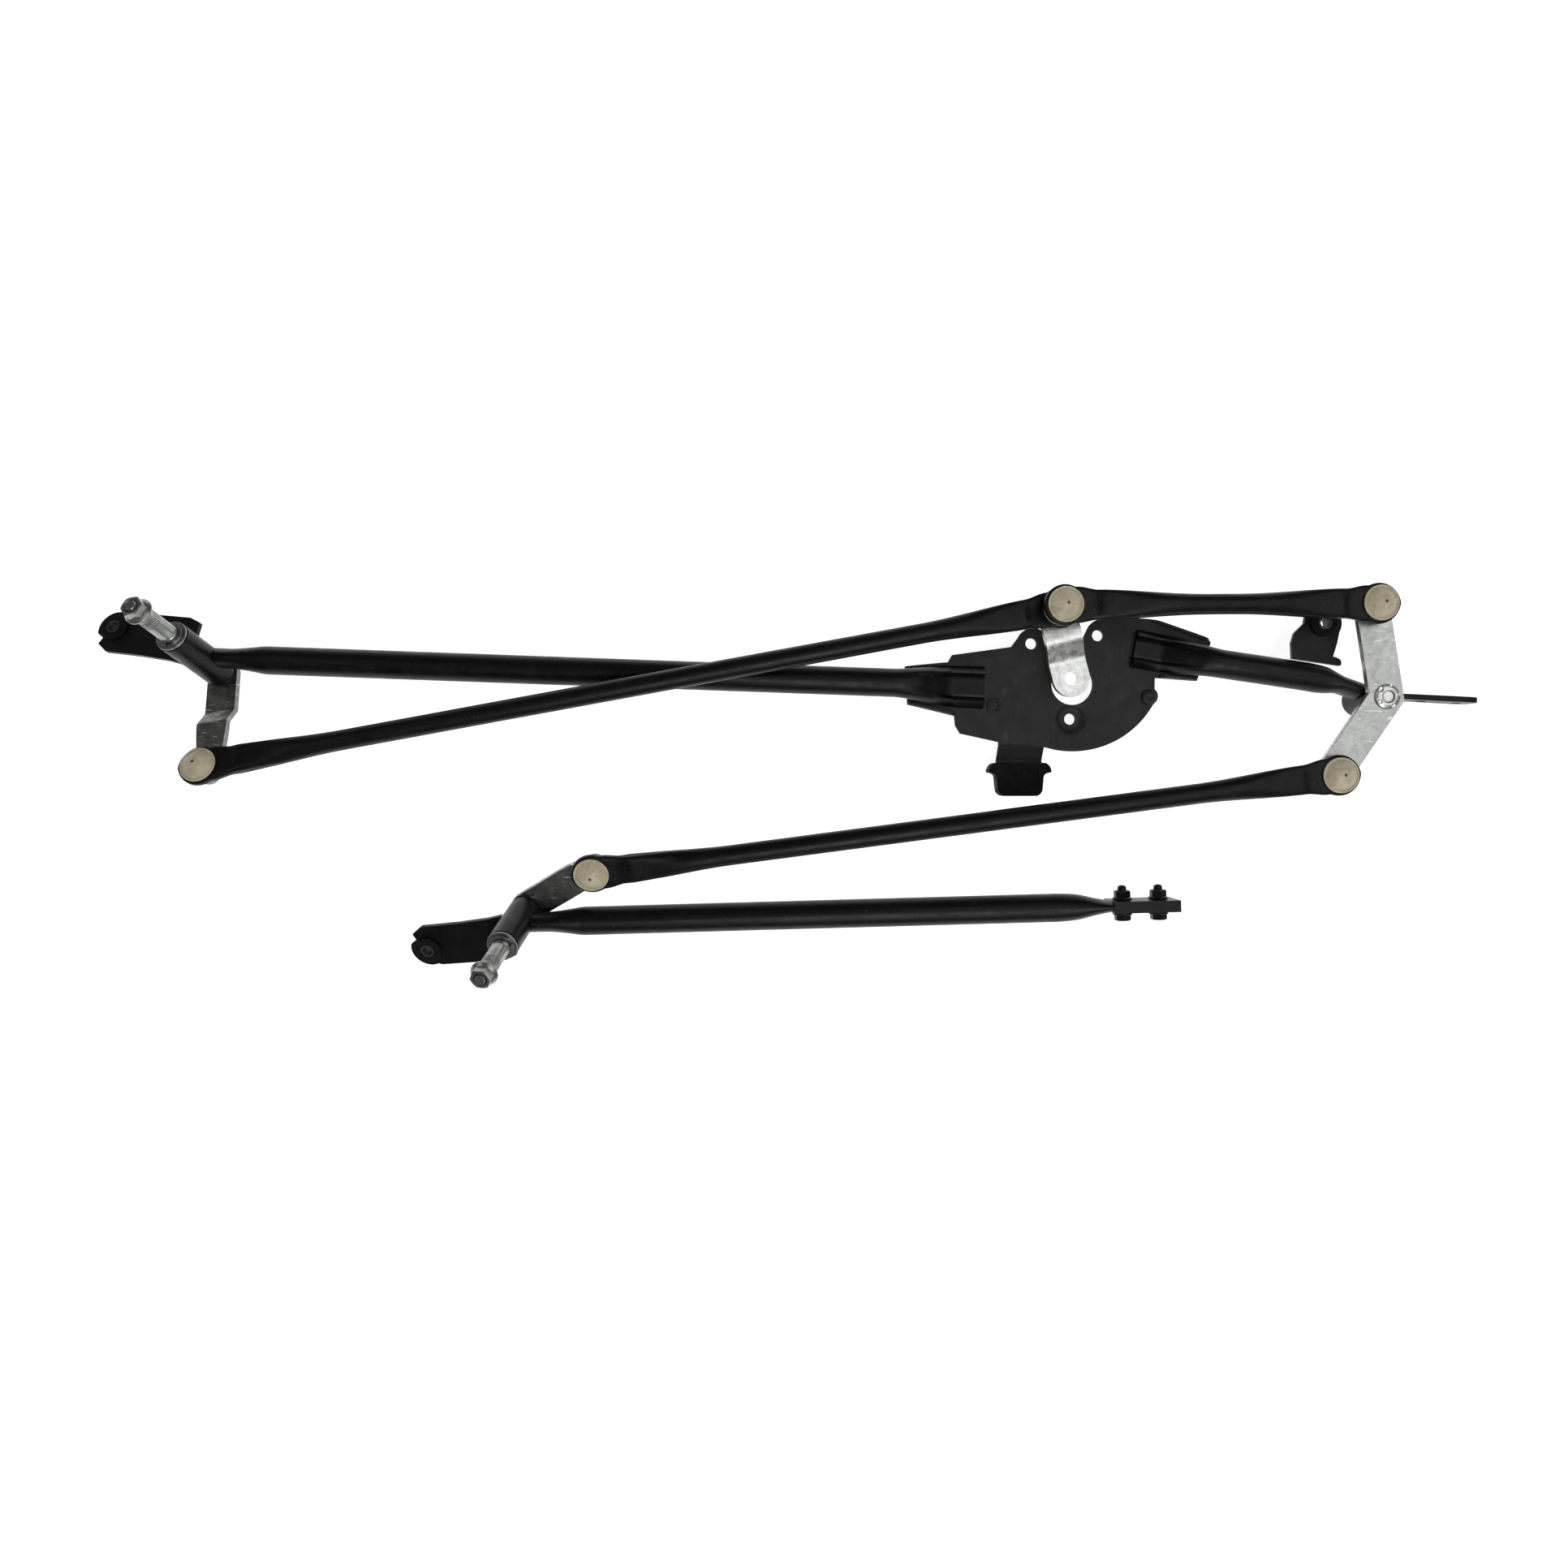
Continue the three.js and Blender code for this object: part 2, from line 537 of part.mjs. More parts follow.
function addMotorPlate() {
  const [dimpleX, dimpleY] = MOTOR_SCREWS[2];
  const dish = turned([
    [0, -PLATE_THICK - 2.5], [8, -PLATE_THICK - 2.5], [12.6, -PLATE_THICK], [12.6, -PLATE_THICK + 0.8],
    [11, -PLATE_THICK + 0.8], [7, -2.5], [0, -2.5],
  ], FINE_SIDES).translate(dimpleX, dimpleY, 0);
  const dimple = turned([[0, -2.5], [7, -2.5], [11, 1], [0, 1]], FINE_SIDES).translate(dimpleX, dimpleY, 0);
  const holes = [disc(MOTOR_HOLE.radius, -20, 20, 32).translate(MOTOR_HOLE.x, MOTOR_HOLE.y, 0),
    ...MOTOR_SCREWS.map(([x, y]) => disc(MOTOR_SCREW_RADIUS, -20, 20, 16).translate(x, y, 0))];
  const walls = [edgeWall(-113.6, -17.3, -80.5, -25.4, 4), edgeWall(-84.9, 12.5, -115.4, 9.6, 4),
    edgeWall(101.2, 29.3, 62, 43, 4), edgeWall(66, 1.5, 92.8, -0.5, 4)];
  const blank = cut(slab(plateOutline(), -PLATE_THICK, 0, 12), dimple);
  put(root, "motor_plate", "platePaint", cut(join(blank, dish, footTab(), ...walls), ...holes));
}

function addFoot() {
  const { x0, x1, bendY, endY, drop } = FOOT_TAB;
  const middle = (x0 + x1) / 2;
  const outline = polygon([
    [middle - 23, bendY - 9], [middle - 23, bendY - 7], [middle - 19, bendY - 2], [middle + 19, bendY - 2],
    [middle + 23, bendY - 7], [middle + 23, bendY - 9], [middle + 17, bendY - 9], [middle + 16, endY - 2],
    [middle + 13, endY - 4], [middle - 13, endY - 4], [middle - 16, endY - 2], [middle - 17, bendY - 9],
  ].reverse());
  const low = -drop - PLATE_THICK - 5;
  const slot = box(x0 - GAP, x1 + GAP, endY - GAP, bendY, -drop - PLATE_THICK - GAP, -drop + GAP);
  put(root, "plate_foot", "rubber", cut(slab(outline, low, -drop + 5), slot));
}

// ---------------------------------------------------------------- frame tubes

function headingOf(points, index) {
  const a = points[Math.max(index - 1, 0)];
  const b = points[Math.min(index + 1, points.length - 1)];
  return Math.atan2(b.y - a.y, b.x - a.x);
}

// stations: [x, y, half width, half height, crush], with the tube's own height above the plate.
function frameTube(stations, axisZ) {
  const points = stations.map(([x, y]) => new THREE.Vector3(x, y, axisZ));
  const path = stations.map(([, , wide, high, crush], i) => ({
    at: points[i], heading: headingOf(points, i), wide, high, crush,
  }));
  return loft(tubeRings(path, crushedSection));
}

function addFrameTubeLeft() {
  const R = TUBE_RADIUS;
  const body = frameTube([
    [-608, 14.8, 7, 12, 0], [-590, 14.0, 7, 12, 0], [-578, 13.4, 8.4, 11.2, 0], [-566, 12.8, R, R, 0],
    [-124, -3.0, R, R, 0], [-108, -3.7, 11.5, 9.5, 0.15], [-94, -4.3, 13.4, 9, 0.6], [-82, -4.8, 14.6, 9, 1],
    [-59.5, -5.6, 15, 9, 1],
  ], TUBE_AXIS_Z);
  const clear = placedBarrel(LEFT_PIVOT, LEFT_AXIS);
  put(root, "frame_tube_left", "paint", cut(body, clear));
}

function addFrameTubeRight() {
  const R = TUBE_RADIUS;
  const body = frameTube([
    [47.5, 22.4, 13.5, 9, 1], [66, 19, 13.2, 9, 1], [80, 15.9, 12.3, 9, 0.6], [92, 13.2, 11, 9.5, 0.15],
    [106, 10.4, R, R, 0], [166, 1.4, R, R, 0], [178, -1, 9.4, R, 0], [190, -4.6, 7.2, 11, 0],
    [212, -12.5, 7.2, 11, 0],
  ], TUBE_AXIS_Z);
  const clear = disc(BELLCRANK_BARREL.radius + 1.5 + GAP, -30, 40, FINE_SIDES)
    .translate(BELLCRANK_AXIS.x, BELLCRANK_AXIS.y, 0);
  put(root, "frame_tube_right", "paint", cut(body, clear));
}

function addFrameTubeSecond() {
  const R = TUBE_RADIUS;
  const body = frameTube([
    [-388, -171.6, 7, 12, 0], [-366, -171.2, 7, 12, 0], [-354, -170.9, 8.4, 11.2, 0], [-342, -170.6, R, R, 0],
    [-11, -161.4, R, R, 0], [4, -160.9, 9, 10.8, 0], [20, -160.4, 5.4, 12, 0],
    [28.5, -160.1, SOCKET.halfThick, SOCKET.halfHeight, 0],
    [73, -158.9, SOCKET.halfThick, SOCKET.halfHeight, 0],
  ], SECOND_TUBE_Z);
  // The pressed end is squared off round a slot that takes the splice blade.
  const socket = splicePlace(box(-SOCKET.depth, 0, -SOCKET.halfThick, SOCKET.halfThick,
    -SOCKET.halfHeight, SOCKET.halfHeight));
  const slot = splicePlace(box(-SOCKET.depth + 2, 5, -SOCKET.slotHalf, SOCKET.slotHalf,
    -SOCKET.slotHalfHeight, SOCKET.slotHalfHeight));
  const holes = SPLICE_BOLTS.map((x) => splicePlace(
    disc(BLADE.holeRadius, -20, 20, 12).rotateX(Math.PI / 2).translate(x, 0, 0)));
  put(root, "frame_tube_second", "paint",
    cut(join(body, socket), slot, ...holes, placedBarrel(SECOND_PIVOT, SECOND_AXIS)));
}

function splicePlace(geometry) {
  return geometry.rotateZ(SPLICE_HEADING).translate(SPLICE_END.x, SPLICE_END.y, SPLICE_END.z);
}

function addSpliceFasteners() {
  const shank = 3;
  SPLICE_BOLTS.forEach((x, i) => {
    const place = (geometry) => splicePlace(geometry.rotateX(-Math.PI / 2).translate(x, 0, 0));
    const face = SOCKET.halfThick + GAP;
    const label = ["inner", "outer"][i];
    const head = join(
      turned([[0, -face - 2], [6.6, -face - 2], [6.6, -face - 0.6], [6.2, -face], [shank, -face],
        [shank, face + 8.6], [2, face + 9.8], [0, face + 10.2]]),
      hexagon(10, -face - 6, -face - 1));
    put(root, "splice_bolt_" + label, "paint", place(head));
    const nut = cut(join(disc(6.6, face, face + 1.6), hexagon(10, face + 0.6, face + 6.4)),
      disc(shank + GAP, face - 1, face + 9, 12));
    put(root, "splice_nut_" + label, "paint", place(nut));
  });
}

// ---------------------------------------------------------------- pivot modules

function placed(geometry, origin, axis) {
  const turn = new THREE.Quaternion().setFromUnitVectors(UP, axis);
  return geometry.applyQuaternion(turn).translate(origin.x, origin.y, origin.z);
}

function placedBarrel(origin, axis) {
  return placed(disc(BARREL_RADIUS + GAP, -40, 60, FINE_SIDES), origin, axis);
}

// The cowl bracket: a plate beside the barrel with a lobe round its rubber-lined hole and a notch beside it.
function bracketOutline() {
  const shape = new THREE.Shape();
  shape.moveTo(-2, 25);
  shape.lineTo(-10, 29.5);
  shape.lineTo(-58, 37.2);
  shape.absarc(BRACKET_HOLE.x, BRACKET_HOLE.y, 13, 1.1, 3.4, false);
  shape.lineTo(-74.5, 18);
  shape.lineTo(-77, 13.5);
  shape.lineTo(-70, 7);
  shape.lineTo(-42, 2);
  shape.lineTo(-20, -3);
  shape.lineTo(-5, -8);
  shape.closePath();
  return shape;
}

function addPivotHousing(prefix, pivot, axis, mirror, barrelLow) {
  const level = frameAt(pivot, axis, pivot.clone().add(new THREE.Vector3(1, 0, 0)));
  put(level, prefix + "_pivot_barrel", "paint", turned([
    [BARREL_BORE, barrelLow], [BARREL_RADIUS, barrelLow],
    [BARREL_RADIUS, BARREL_TOP], [BARREL_BORE, BARREL_TOP],
    [BARREL_BORE, barrelLow],
  ], FINE_SIDES));
  put(level, prefix + "_pivot_bush", "bronze",
    ring(SPINDLE_RADIUS + GAP, BARREL_BORE - GAP, barrelLow + 0.5, BARREL_TOP - 0.4));
  const high = BRACKET_HEIGHT + BRACKET_THICK;
  const plate = slab(bracketOutline(), BRACKET_HEIGHT, high, 8);
  const lipLow = disc(BRACKET_HOLE.radius + 2.2, BRACKET_HEIGHT - 5, BRACKET_HEIGHT + 1)
    .translate(BRACKET_HOLE.x, BRACKET_HOLE.y, 0);
  const bore = disc(BRACKET_HOLE.radius, 0, 60).translate(BRACKET_HOLE.x, BRACKET_HOLE.y, 0);
  const rib = box(-64, -9, 7.5, 10.5, BRACKET_HEIGHT - 6, BRACKET_HEIGHT + 1).rotateZ(-0.08);
  const flip = (geometry) => (mirror ? reflected(geometry) : geometry);
  put(level, prefix + "_pivot_bracket", "paint",
    flip(cut(join(plate, lipLow, rib), bore, disc(BARREL_RADIUS + GAP, 0, 60, FINE_SIDES))));
  const sleeve = { inner: 3.4, outer: 4.9 };
  const grommet = ring(sleeve.outer + GAP, BRACKET_HOLE.radius - GAP, BRACKET_HEIGHT - 6, high + 1.4);
  put(level, prefix + "_bracket_grommet", "rubber",
    flip(join(grommet, ring(sleeve.outer + GAP, BRACKET_HOLE.radius + 2, high + GAP, high + 2))
      .translate(BRACKET_HOLE.x, BRACKET_HOLE.y, 0)));
  put(level, prefix + "_bracket_sleeve", "steel",
    flip(ring(sleeve.inner, sleeve.outer, BRACKET_HEIGHT - 7, high + 2.6)
      .translate(BRACKET_HOLE.x, BRACKET_HOLE.y, 0)));
}

// The same solid on the other side of the X axis, with its faces turned to point out again.
function reflected(geometry) {
  const flat = geometry.index ? geometry.toNonIndexed() : geometry;
  const position = flat.attributes.position;
  for (let i = 0; i < position.count; i++) position.setY(i, -position.getY(i));
  for (let i = 0; i < position.count; i += 3) {
    const keep = new THREE.Vector3().fromBufferAttribute(position, i);
    const swap = new THREE.Vector3().fromBufferAttribute(position, i + 1);
    position.setXYZ(i, swap.x, swap.y, swap.z);
    position.setXYZ(i + 1, keep.x, keep.y, keep.z);
  }
  flat.computeVertexNormals();
  return flat;
}

function spindle(base) {
  const low = base - LEVER_THICK / 2;
  const high = base + LEVER_THICK / 2;
  return turned([
    [0, low - 2.6], [6.4, low - 2.6], [8, low - 1.6], [8, low - GAP], [5.4, low - GAP],
    [5.4, high + GAP], [7.6, high + GAP], [7.6, high + 1.2], [SPINDLE_RADIUS, high + 1.8],
    [SPINDLE_RADIUS, BARREL_TOP + 3], [6.3, BARREL_TOP + 4], [6.3, 76], [5.2, 82], [3.9, 82.6],
    [3.9, SPINDLE_END - 1], [3.2, SPINDLE_END], [0, SPINDLE_END],
  ]);
}

function flangeNut() {
  const seat = 82.9;
  const body = join(
    turned([[0, seat], [9.2, seat], [9.2, seat + 1.4], [7.4, seat + 2.8], [0, seat + 2.8]]),
    hexagon(13, seat + 2, seat + 8.2));
  return cut(body, disc(3.9 + GAP, seat - 1, SPINDLE_END + 2));
}

function addShaft(prefix, pivot, axis, ball, leverBase, outerPlane) {
  const shaft = frameAt(pivot, axis, ball);
  const offset = ball.clone().sub(pivot);
  const rise = offset.dot(axis);
  const reach = Math.sqrt(offset.lengthSq() - rise * rise);
  const low = leverBase - LEVER_THICK / 2;
  const { from, to } = LEVER_RAMP;
  const strap = outerPlane > leverBase
    ? joggledStrap(reach, LEVER_HALF_WIDTH, low, outerPlane - leverBase, LEVER_THICK, from, to)
    : slab(strapOutline(reach, LEVER_HALF_WIDTH), low, low + LEVER_THICK, 10);
  put(shaft, prefix + "_lever", "darkZinc",
    cut(strap, disc(5.4 + GAP, -40, 40), disc(STUD_HOLE, -40, 40).translate(reach, 0, 0)));
  put(shaft, prefix + "_spindle", "steel", spindle(leverBase));
  const outerTop = outerPlane + LEVER_THICK / 2 - rise;
  put(shaft, prefix + "_ball_stud", "steel",
    ballStud(outerTop, outerTop - LEVER_THICK)).position.set(reach, 0, rise);
  put(shaft, prefix + "_flange_nut", "steel", flangeNut());
  put(shaft, prefix + "_thrust_washer", "steel",
    ring(SPINDLE_RADIUS + GAP, 10.6, BARREL_TOP + GAP, BARREL_TOP + 1.5));
  const clip = ring(SPINDLE_RADIUS + GAP, 8.6, BARREL_TOP + 1.8, BARREL_TOP + 2.9);
  put(shaft, prefix + "_circlip", "steel", cut(clip, box(0, 20, -2, 2, 0, 80)));
  return leverBase + LEVER_THICK / 2;
}

// ---------------------------------------------------------------- mount bracket on the right frame tube

function addRightMount() {
  const { x, y, radius, low } = RIGHT_MOUNT;
  const high = low + BRACKET_THICK;
  const outline = new THREE.Shape();
  outline.moveTo(190.5, 8.6);
  outline.absarc(x, y, radius, -0.1, Math.PI, false);
  outline.lineTo(155.6, 29);
  outline.lineTo(153.5, 14.1);
  outline.closePath();
  const place = (geometry) => geometry.translate(x, y, 0);
  put(root, "right_mount_bracket", "paint", cut(slab(outline, low, high, 10), place(disc(8, 0, 60))));
  put(root, "right_mount_grommet", "rubber", place(join(
    ring(5.2, 7.7, low - 4, high + 3),
    ring(5.2, 9.3, high + GAP, high + 3),
    ring(5.2, 9.3, low - 4, low - GAP))));
  put(root, "right_mount_sleeve", "steel", place(ring(3.4, 4.9, low - 4.6, high + 3.6)));
}

// ---------------------------------------------------------------- the assembly

addMotorPlate();
addFoot();
addFrameTubeLeft();
addFrameTubeRight();
addRightMount();
addSpliceBlade();
addCrank();
addBellcrank();
addLongRod();
addShortRod();
addLowerRod();
const leftTop = addShaft("left", LEFT_PIVOT, LEFT_AXIS, LEFT_BALL, LEFT_LEVER.base, LEFT_LEVER.outer);
addPivotHousing("left", LEFT_PIVOT, LEFT_AXIS, false, leftTop + BARREL_CLEARANCE);
const secondTop = addShaft("second", SECOND_PIVOT, SECOND_AXIS, SECOND_BALL,
  SECOND_LEVER.base, SECOND_LEVER.outer);
addPivotHousing("second", SECOND_PIVOT, SECOND_AXIS, true, secondTop + BARREL_CLEARANCE);
addFrameTubeSecond();
addSpliceFasteners();

export default root;
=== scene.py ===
"""Looks of a two-pivot windshield wiper linkage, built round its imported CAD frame.

Shapes are made in millimetres and scaled to metres when a piece is finished.
"""

import json
import math

import bmesh
import bpy
from mathutils import Matrix, Vector


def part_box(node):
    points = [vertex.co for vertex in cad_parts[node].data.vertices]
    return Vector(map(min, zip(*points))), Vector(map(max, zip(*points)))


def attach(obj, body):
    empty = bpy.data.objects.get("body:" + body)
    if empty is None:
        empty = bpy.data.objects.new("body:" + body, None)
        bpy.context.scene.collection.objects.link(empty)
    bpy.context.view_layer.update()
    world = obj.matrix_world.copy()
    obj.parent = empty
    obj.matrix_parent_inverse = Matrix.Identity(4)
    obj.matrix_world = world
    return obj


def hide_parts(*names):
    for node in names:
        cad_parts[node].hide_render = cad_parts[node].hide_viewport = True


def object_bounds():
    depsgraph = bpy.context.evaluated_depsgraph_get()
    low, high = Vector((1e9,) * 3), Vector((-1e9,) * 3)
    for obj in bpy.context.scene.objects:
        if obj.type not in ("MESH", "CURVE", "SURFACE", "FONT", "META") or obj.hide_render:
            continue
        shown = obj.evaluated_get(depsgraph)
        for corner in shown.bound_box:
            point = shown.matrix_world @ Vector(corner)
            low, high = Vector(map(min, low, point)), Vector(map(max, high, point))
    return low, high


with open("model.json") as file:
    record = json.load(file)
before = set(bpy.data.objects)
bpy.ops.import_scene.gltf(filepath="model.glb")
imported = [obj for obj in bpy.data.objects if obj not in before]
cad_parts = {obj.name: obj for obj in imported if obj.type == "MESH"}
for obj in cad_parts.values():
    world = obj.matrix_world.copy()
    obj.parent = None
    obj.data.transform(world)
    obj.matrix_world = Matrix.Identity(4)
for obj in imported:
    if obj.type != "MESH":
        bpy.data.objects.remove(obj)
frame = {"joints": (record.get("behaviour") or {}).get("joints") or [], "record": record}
cad_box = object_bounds()

# ---------------------------------------------------------------- places, from the frame

MM = 0.001
JOINTS = {joint["name"]: joint for joint in frame["joints"]}
NODE_BODY = {node: body for body, nodes in frame["record"]["behaviour"]["bodies"].items() for node in nodes}


def joint_at(name):
    return Vector(JOINTS[name]["pos_m"]) / MM


def joint_axis(name):
    return Vector(JOINTS[name]["axis"]).normalized()


def box_of(node):
    low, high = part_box(node)
    return low / MM, high / MM


UP = Vector((0, 0, 1))
BALL_RADIUS = 6.5
LEFT_PIVOT = joint_at("left_wiper_turn")
LEFT_AXIS = joint_axis("left_wiper_turn")
LEFT_BALL = joint_at("long_rod_swing")
SECOND_PIVOT = joint_at("second_carrier_turn")
SECOND_AXIS = joint_axis("second_carrier_turn")
SECOND_BALL = joint_at("second_shaft_swing")
CRANK_LOW_BALL = joint_at("crank_turn")
CRANK_TOP = box_of("crank_stud_upper_ball")[1].z
CRANK_TOP_BALL = Vector((CRANK_LOW_BALL.x, CRANK_LOW_BALL.y, CRANK_TOP - BALL_RADIUS))
BELLCRANK_AXIS = joint_at("bellcrank_turn")
BELLCRANK_AXIS.z = 0
BELLCRANK_TOP_BALL = joint_at("short_rod_swing")
BELLCRANK_LOW_BALL = joint_at("lower_rod_swing")

# ---------------------------------------------------------------- sizes, mm

GAP = 0.3
SIDES = 64

PLATE_THICK = 3
MOTOR_HOLE = {"x": 4, "y": -2.9, "radius": 14.8}
MOTOR_SCREW_RADIUS = 4
MOTOR_SCREWS = [(-25.4, 26.0), (22.2, 31.8), (2.9, -27.8)]
CLINCH = (-51.8, -18.3)
RIVET = (58.4, -12.4)
WALL_HEIGHT = 4
FOOT_TAB = {"x0": -48.6, "x1": -15.8, "y0": -46, "bend": -57, "end": -79, "drop": 9}
TUBE_RADIUS = 10
TUBE_AXIS_Z = TUBE_RADIUS + GAP
SECOND_TUBE_Z = 12

CUP = {"cavity": 6.8, "body": 10.2, "rim": 12.1, "skirt": -7.2, "rim_low": 1.6, "rim_high": 3.2, "top": 8.8}
EYE = {"outer": 14, "bore": 10.5}
ROD_RADIUS = 7
ROD_DROP = 1.5
DENT = {"reach": 23.5, "apart": 1.8}
FLAT_HALF_WIDTH = 10.1
FLAT_HALF_HEIGHT = 2.8

CRANK = {"hub_z": 8, "rise": 7.4, "thick": 5, "half_width": 13, "bore": 4.6, "ramp": (12.5, 26.4)}
BELL = {"z": 25, "thick": 4.6, "half_width": 11.75, "radius": 11.5, "low": -10, "high": 24}
LEVER_THICK = 4.5
LEVER_HALF_WIDTH = 11
LEVER_TIP = 8.5
LEVER_RAMP = (30, 42)
LEVER_SEAT = 5.4
LEFT_LEVER = {"base": -8, "outer": 0.2}
SECOND_LEVER = {"base": 0, "outer": 0}
BARREL_CLEARANCE = 3
SPINDLE_RADIUS = 6
SPINDLE_END = 92
THREAD_RADIUS = 3.9
NUT_SEAT = 82.9
BARREL_RADIUS = 11
BARREL_BORE = 8.4
BARREL_TOP = 50
BRACKET_HEIGHT = 22
BRACKET_THICK = 3
BRACKET_HOLE = (-66.5, 25, 7.5)
SLEEVE = {"bore": 3.4, "radius": 4.9}
RIGHT_MOUNT = {"x": 177.6, "y": 39, "radius": 13.2, "low": 8.5}
NECK_RADIUS = 4.2
NECK_ANGLE = math.acos(NECK_RADIUS / BALL_RADIUS)
STUD_SHANK = 4
STUD_HOLE = STUD_SHANK + GAP

BLADE = {"thick": 4, "half_height": 10, "hole": 3.4, "first": 253, "pitch": 25.5, "end": 290, "y": -12}
SOCKET = {"half_thick": 4.1, "half_height": 12.5, "slot": 2.6, "slot_height": 10.6, "depth": 46}
SPLICE_END = Vector((73, -158.9, SECOND_TUBE_Z))
SPLICE_HEADING = math.atan2(1.2, 44.5)
SPLICE_BOLTS = (-37, -11.7)
SPLICE_SHANK = 3
SPLICE_HEX = 10
BLADE_DROOP = math.atan2(2.4, 50)

# ---------------------------------------------------------------- stage, m

FLOOR = {"half": 4, "below": 0.004, "glow": 0.86}
# Place from the middle of the CAD box, size and power.
LIGHTS = {
    "key": ((0.3, -0.8, 1.75), 1.0, 11.8),
    "front": ((0.3, -1.5, 1.35), 0.9, 3.5),
    "fill_right": ((1.05, 0.3, 1.7), 1.7, 8.5),
    "fill_left": ((-1.5, 0.3, 1.6), 1.2, 3),
}
SKY = 0.12
CAMERA = {"place": (-0.202, -0.0743, 0.773), "lens": 24.83, "sensor": 36}

# ---------------------------------------------------------------- solids


def make(points, faces):
    """A mesh object with its doubled points merged and its faces turned outwards."""
    mesh = bpy.data.meshes.new("solid")
    mesh.from_pydata([tuple(p) for p in points], [], faces)
    bm = bmesh.new()
    bm.from_mesh(mesh)
    bmesh.ops.remove_doubles(bm, verts=bm.verts, dist=1e-4)
    bmesh.ops.recalc_face_normals(bm, faces=bm.faces)
    bm.to_mesh(mesh)
    bm.free()
    obj = bpy.data.objects.new("solid", mesh)
    bpy.context.scene.collection.objects.link(obj)
    return obj


def bake(obj):
    """Replaces the mesh by the result of its modifiers."""
    graph = bpy.context.evaluated_depsgraph_get()
    mesh = bpy.data.meshes.new_from_object(obj.evaluated_get(graph))
    obj.modifiers.clear()
    obj.data = mesh
    return obj


def combine(base, operation, *tools):
    for tool in tools:
        step = base.modifiers.new("combine", "BOOLEAN")
        step.operation = operation
        step.solver = "EXACT"
        step.object = tool
    bake(base)
    for tool in tools:
        bpy.data.objects.remove(tool)
    return base


def join(base, *tools):
    return combine(base, "UNION", *tools)


def cut(base, *tools):
    return combine(base, "DIFFERENCE", *tools)


def moved(obj, matrix):
    obj.data.transform(matrix)
    if matrix.determinant() < 0:
        obj.data.flip_normals()
    return obj


def shift(obj, x, y, z):
    return moved(obj, Matrix.Translation((x, y, z)))


def turn(obj, angle, axis):
    return moved(obj, Matrix.Rotation(angle, 4, axis))


def turned(profile, sides=SIDES, closed=False):
    """A solid of revolution about Z from [radius, z] pairs."""
    points = []
    faces = []
    count = len(profile)
    for s in range(sides):
        angle = 2 * math.pi * s / sides
        points += [(r * math.cos(angle), r * math.sin(angle), z) for r, z in profile]
    for s in range(sides):
        a = s * count
        b = (s + 1) % sides * count
        for i in range(count if closed else count - 1):
            j = (i + 1) % count
            faces.append((a + i, b + i, b + j, a + j))
    return make(points, faces)


def disc(radius, low, high, sides=SIDES):
    return turned([(0, low), (radius, low), (radius, high), (0, high)], sides)


def ring(inner, outer, low, high, sides=SIDES):
    return turned([(inner, low), (outer, low), (outer, high), (inner, high)], sides, closed=True)


def slab(outline, low, high):
    """The outline raised from low to high."""
    count = len(outline)
    points = [(x, y, low) for x, y in outline] + [(x, y, high) for x, y in outline]
    faces = [tuple(range(count)), tuple(range(count, 2 * count))]
    faces += [(i, (i + 1) % count, count + (i + 1) % count, count + i) for i in range(count)]
    return make(points, faces)


def block(x0, x1, y0, y1, z0, z1):
    return slab([(x0, y0), (x1, y0), (x1, y1), (x0, y1)], z0, z1)


def hexagon(across_flats, low, high):
    """A hex body with its corners chamfered at the top, as on a nut or bolt head."""
    corner = across_flats / math.sqrt(3)
    body = turn(disc(corner, low, high, 6), math.pi / 6, "Z")
    dome = turned([
        (0, low - 1), (corner + 1, low - 1), (corner + 1, high - 1.1), (across_flats / 2 - 0.4, high),
        (0, high),
    ])
    return combine(body, "INTERSECT", dome)


def arc(x, y, radius, start, end, steps=16):
    return [(x + radius * math.cos(start + (end - start) * i / steps),
             y + radius * math.sin(start + (end - start) * i / steps)) for i in range(steps + 1)]


def softened(outline, radius, steps=5):
    """The outline with its corners rounded by curves that reach radius along each side."""
    points = []
    for i, corner in enumerate(outline):
        here = Vector(corner)
        sides = [Vector(outline[i - 1]) - here, Vector(outline[(i + 1) % len(outline)]) - here]
        first, second = [here + side.normalized() * min(radius, side.length * 0.45) for side in sides]
        for s in range(steps + 1):
            t = s / steps
            point = first * (1 - t) ** 2 + here * 2 * t * (1 - t) + second * t ** 2
            points.append((point.x, point.y))
    return points


def loft(rings):
    """A skin through rings of equally many points, closed by a face at each end."""
    sides = len(rings[0])
    points = [p for loop in rings for p in loop]
    faces = []
    for r in range(len(rings) - 1):
        for s in range(sides):
            a = r * sides + s
            b = r * sides + (s + 1) % sides
            faces.append((a, b, b + sides, a + sides))
    faces.append(tuple(range(sides)))
    faces.append(tuple(range((len(rings) - 1) * sides, len(rings) * sides)))
    return make(points, faces)


def smooth(t):
    """A smooth step from 0 to 1."""
    u = min(max(t, 0), 1)
    return u * u * (3 - 2 * u)


def frame_at(origin, axis, target):
    """The placing whose Z runs along axis and whose X points from origin towards target."""
    x = target - origin
    x = (x - axis * x.dot(axis)).normalized()
    y = axis.cross(x)
    return Matrix.Translation(origin) @ Matrix((x, y, axis)).transposed().to_4x4()


# ---------------------------------------------------------------- materials


def node_of(tree, kind, **values):
    node = tree.nodes.new(kind)
    for key, value in values.items():
        if key in node.inputs:
            node.inputs[key].default_value = value
        else:
            setattr(node, key, value)
    return node


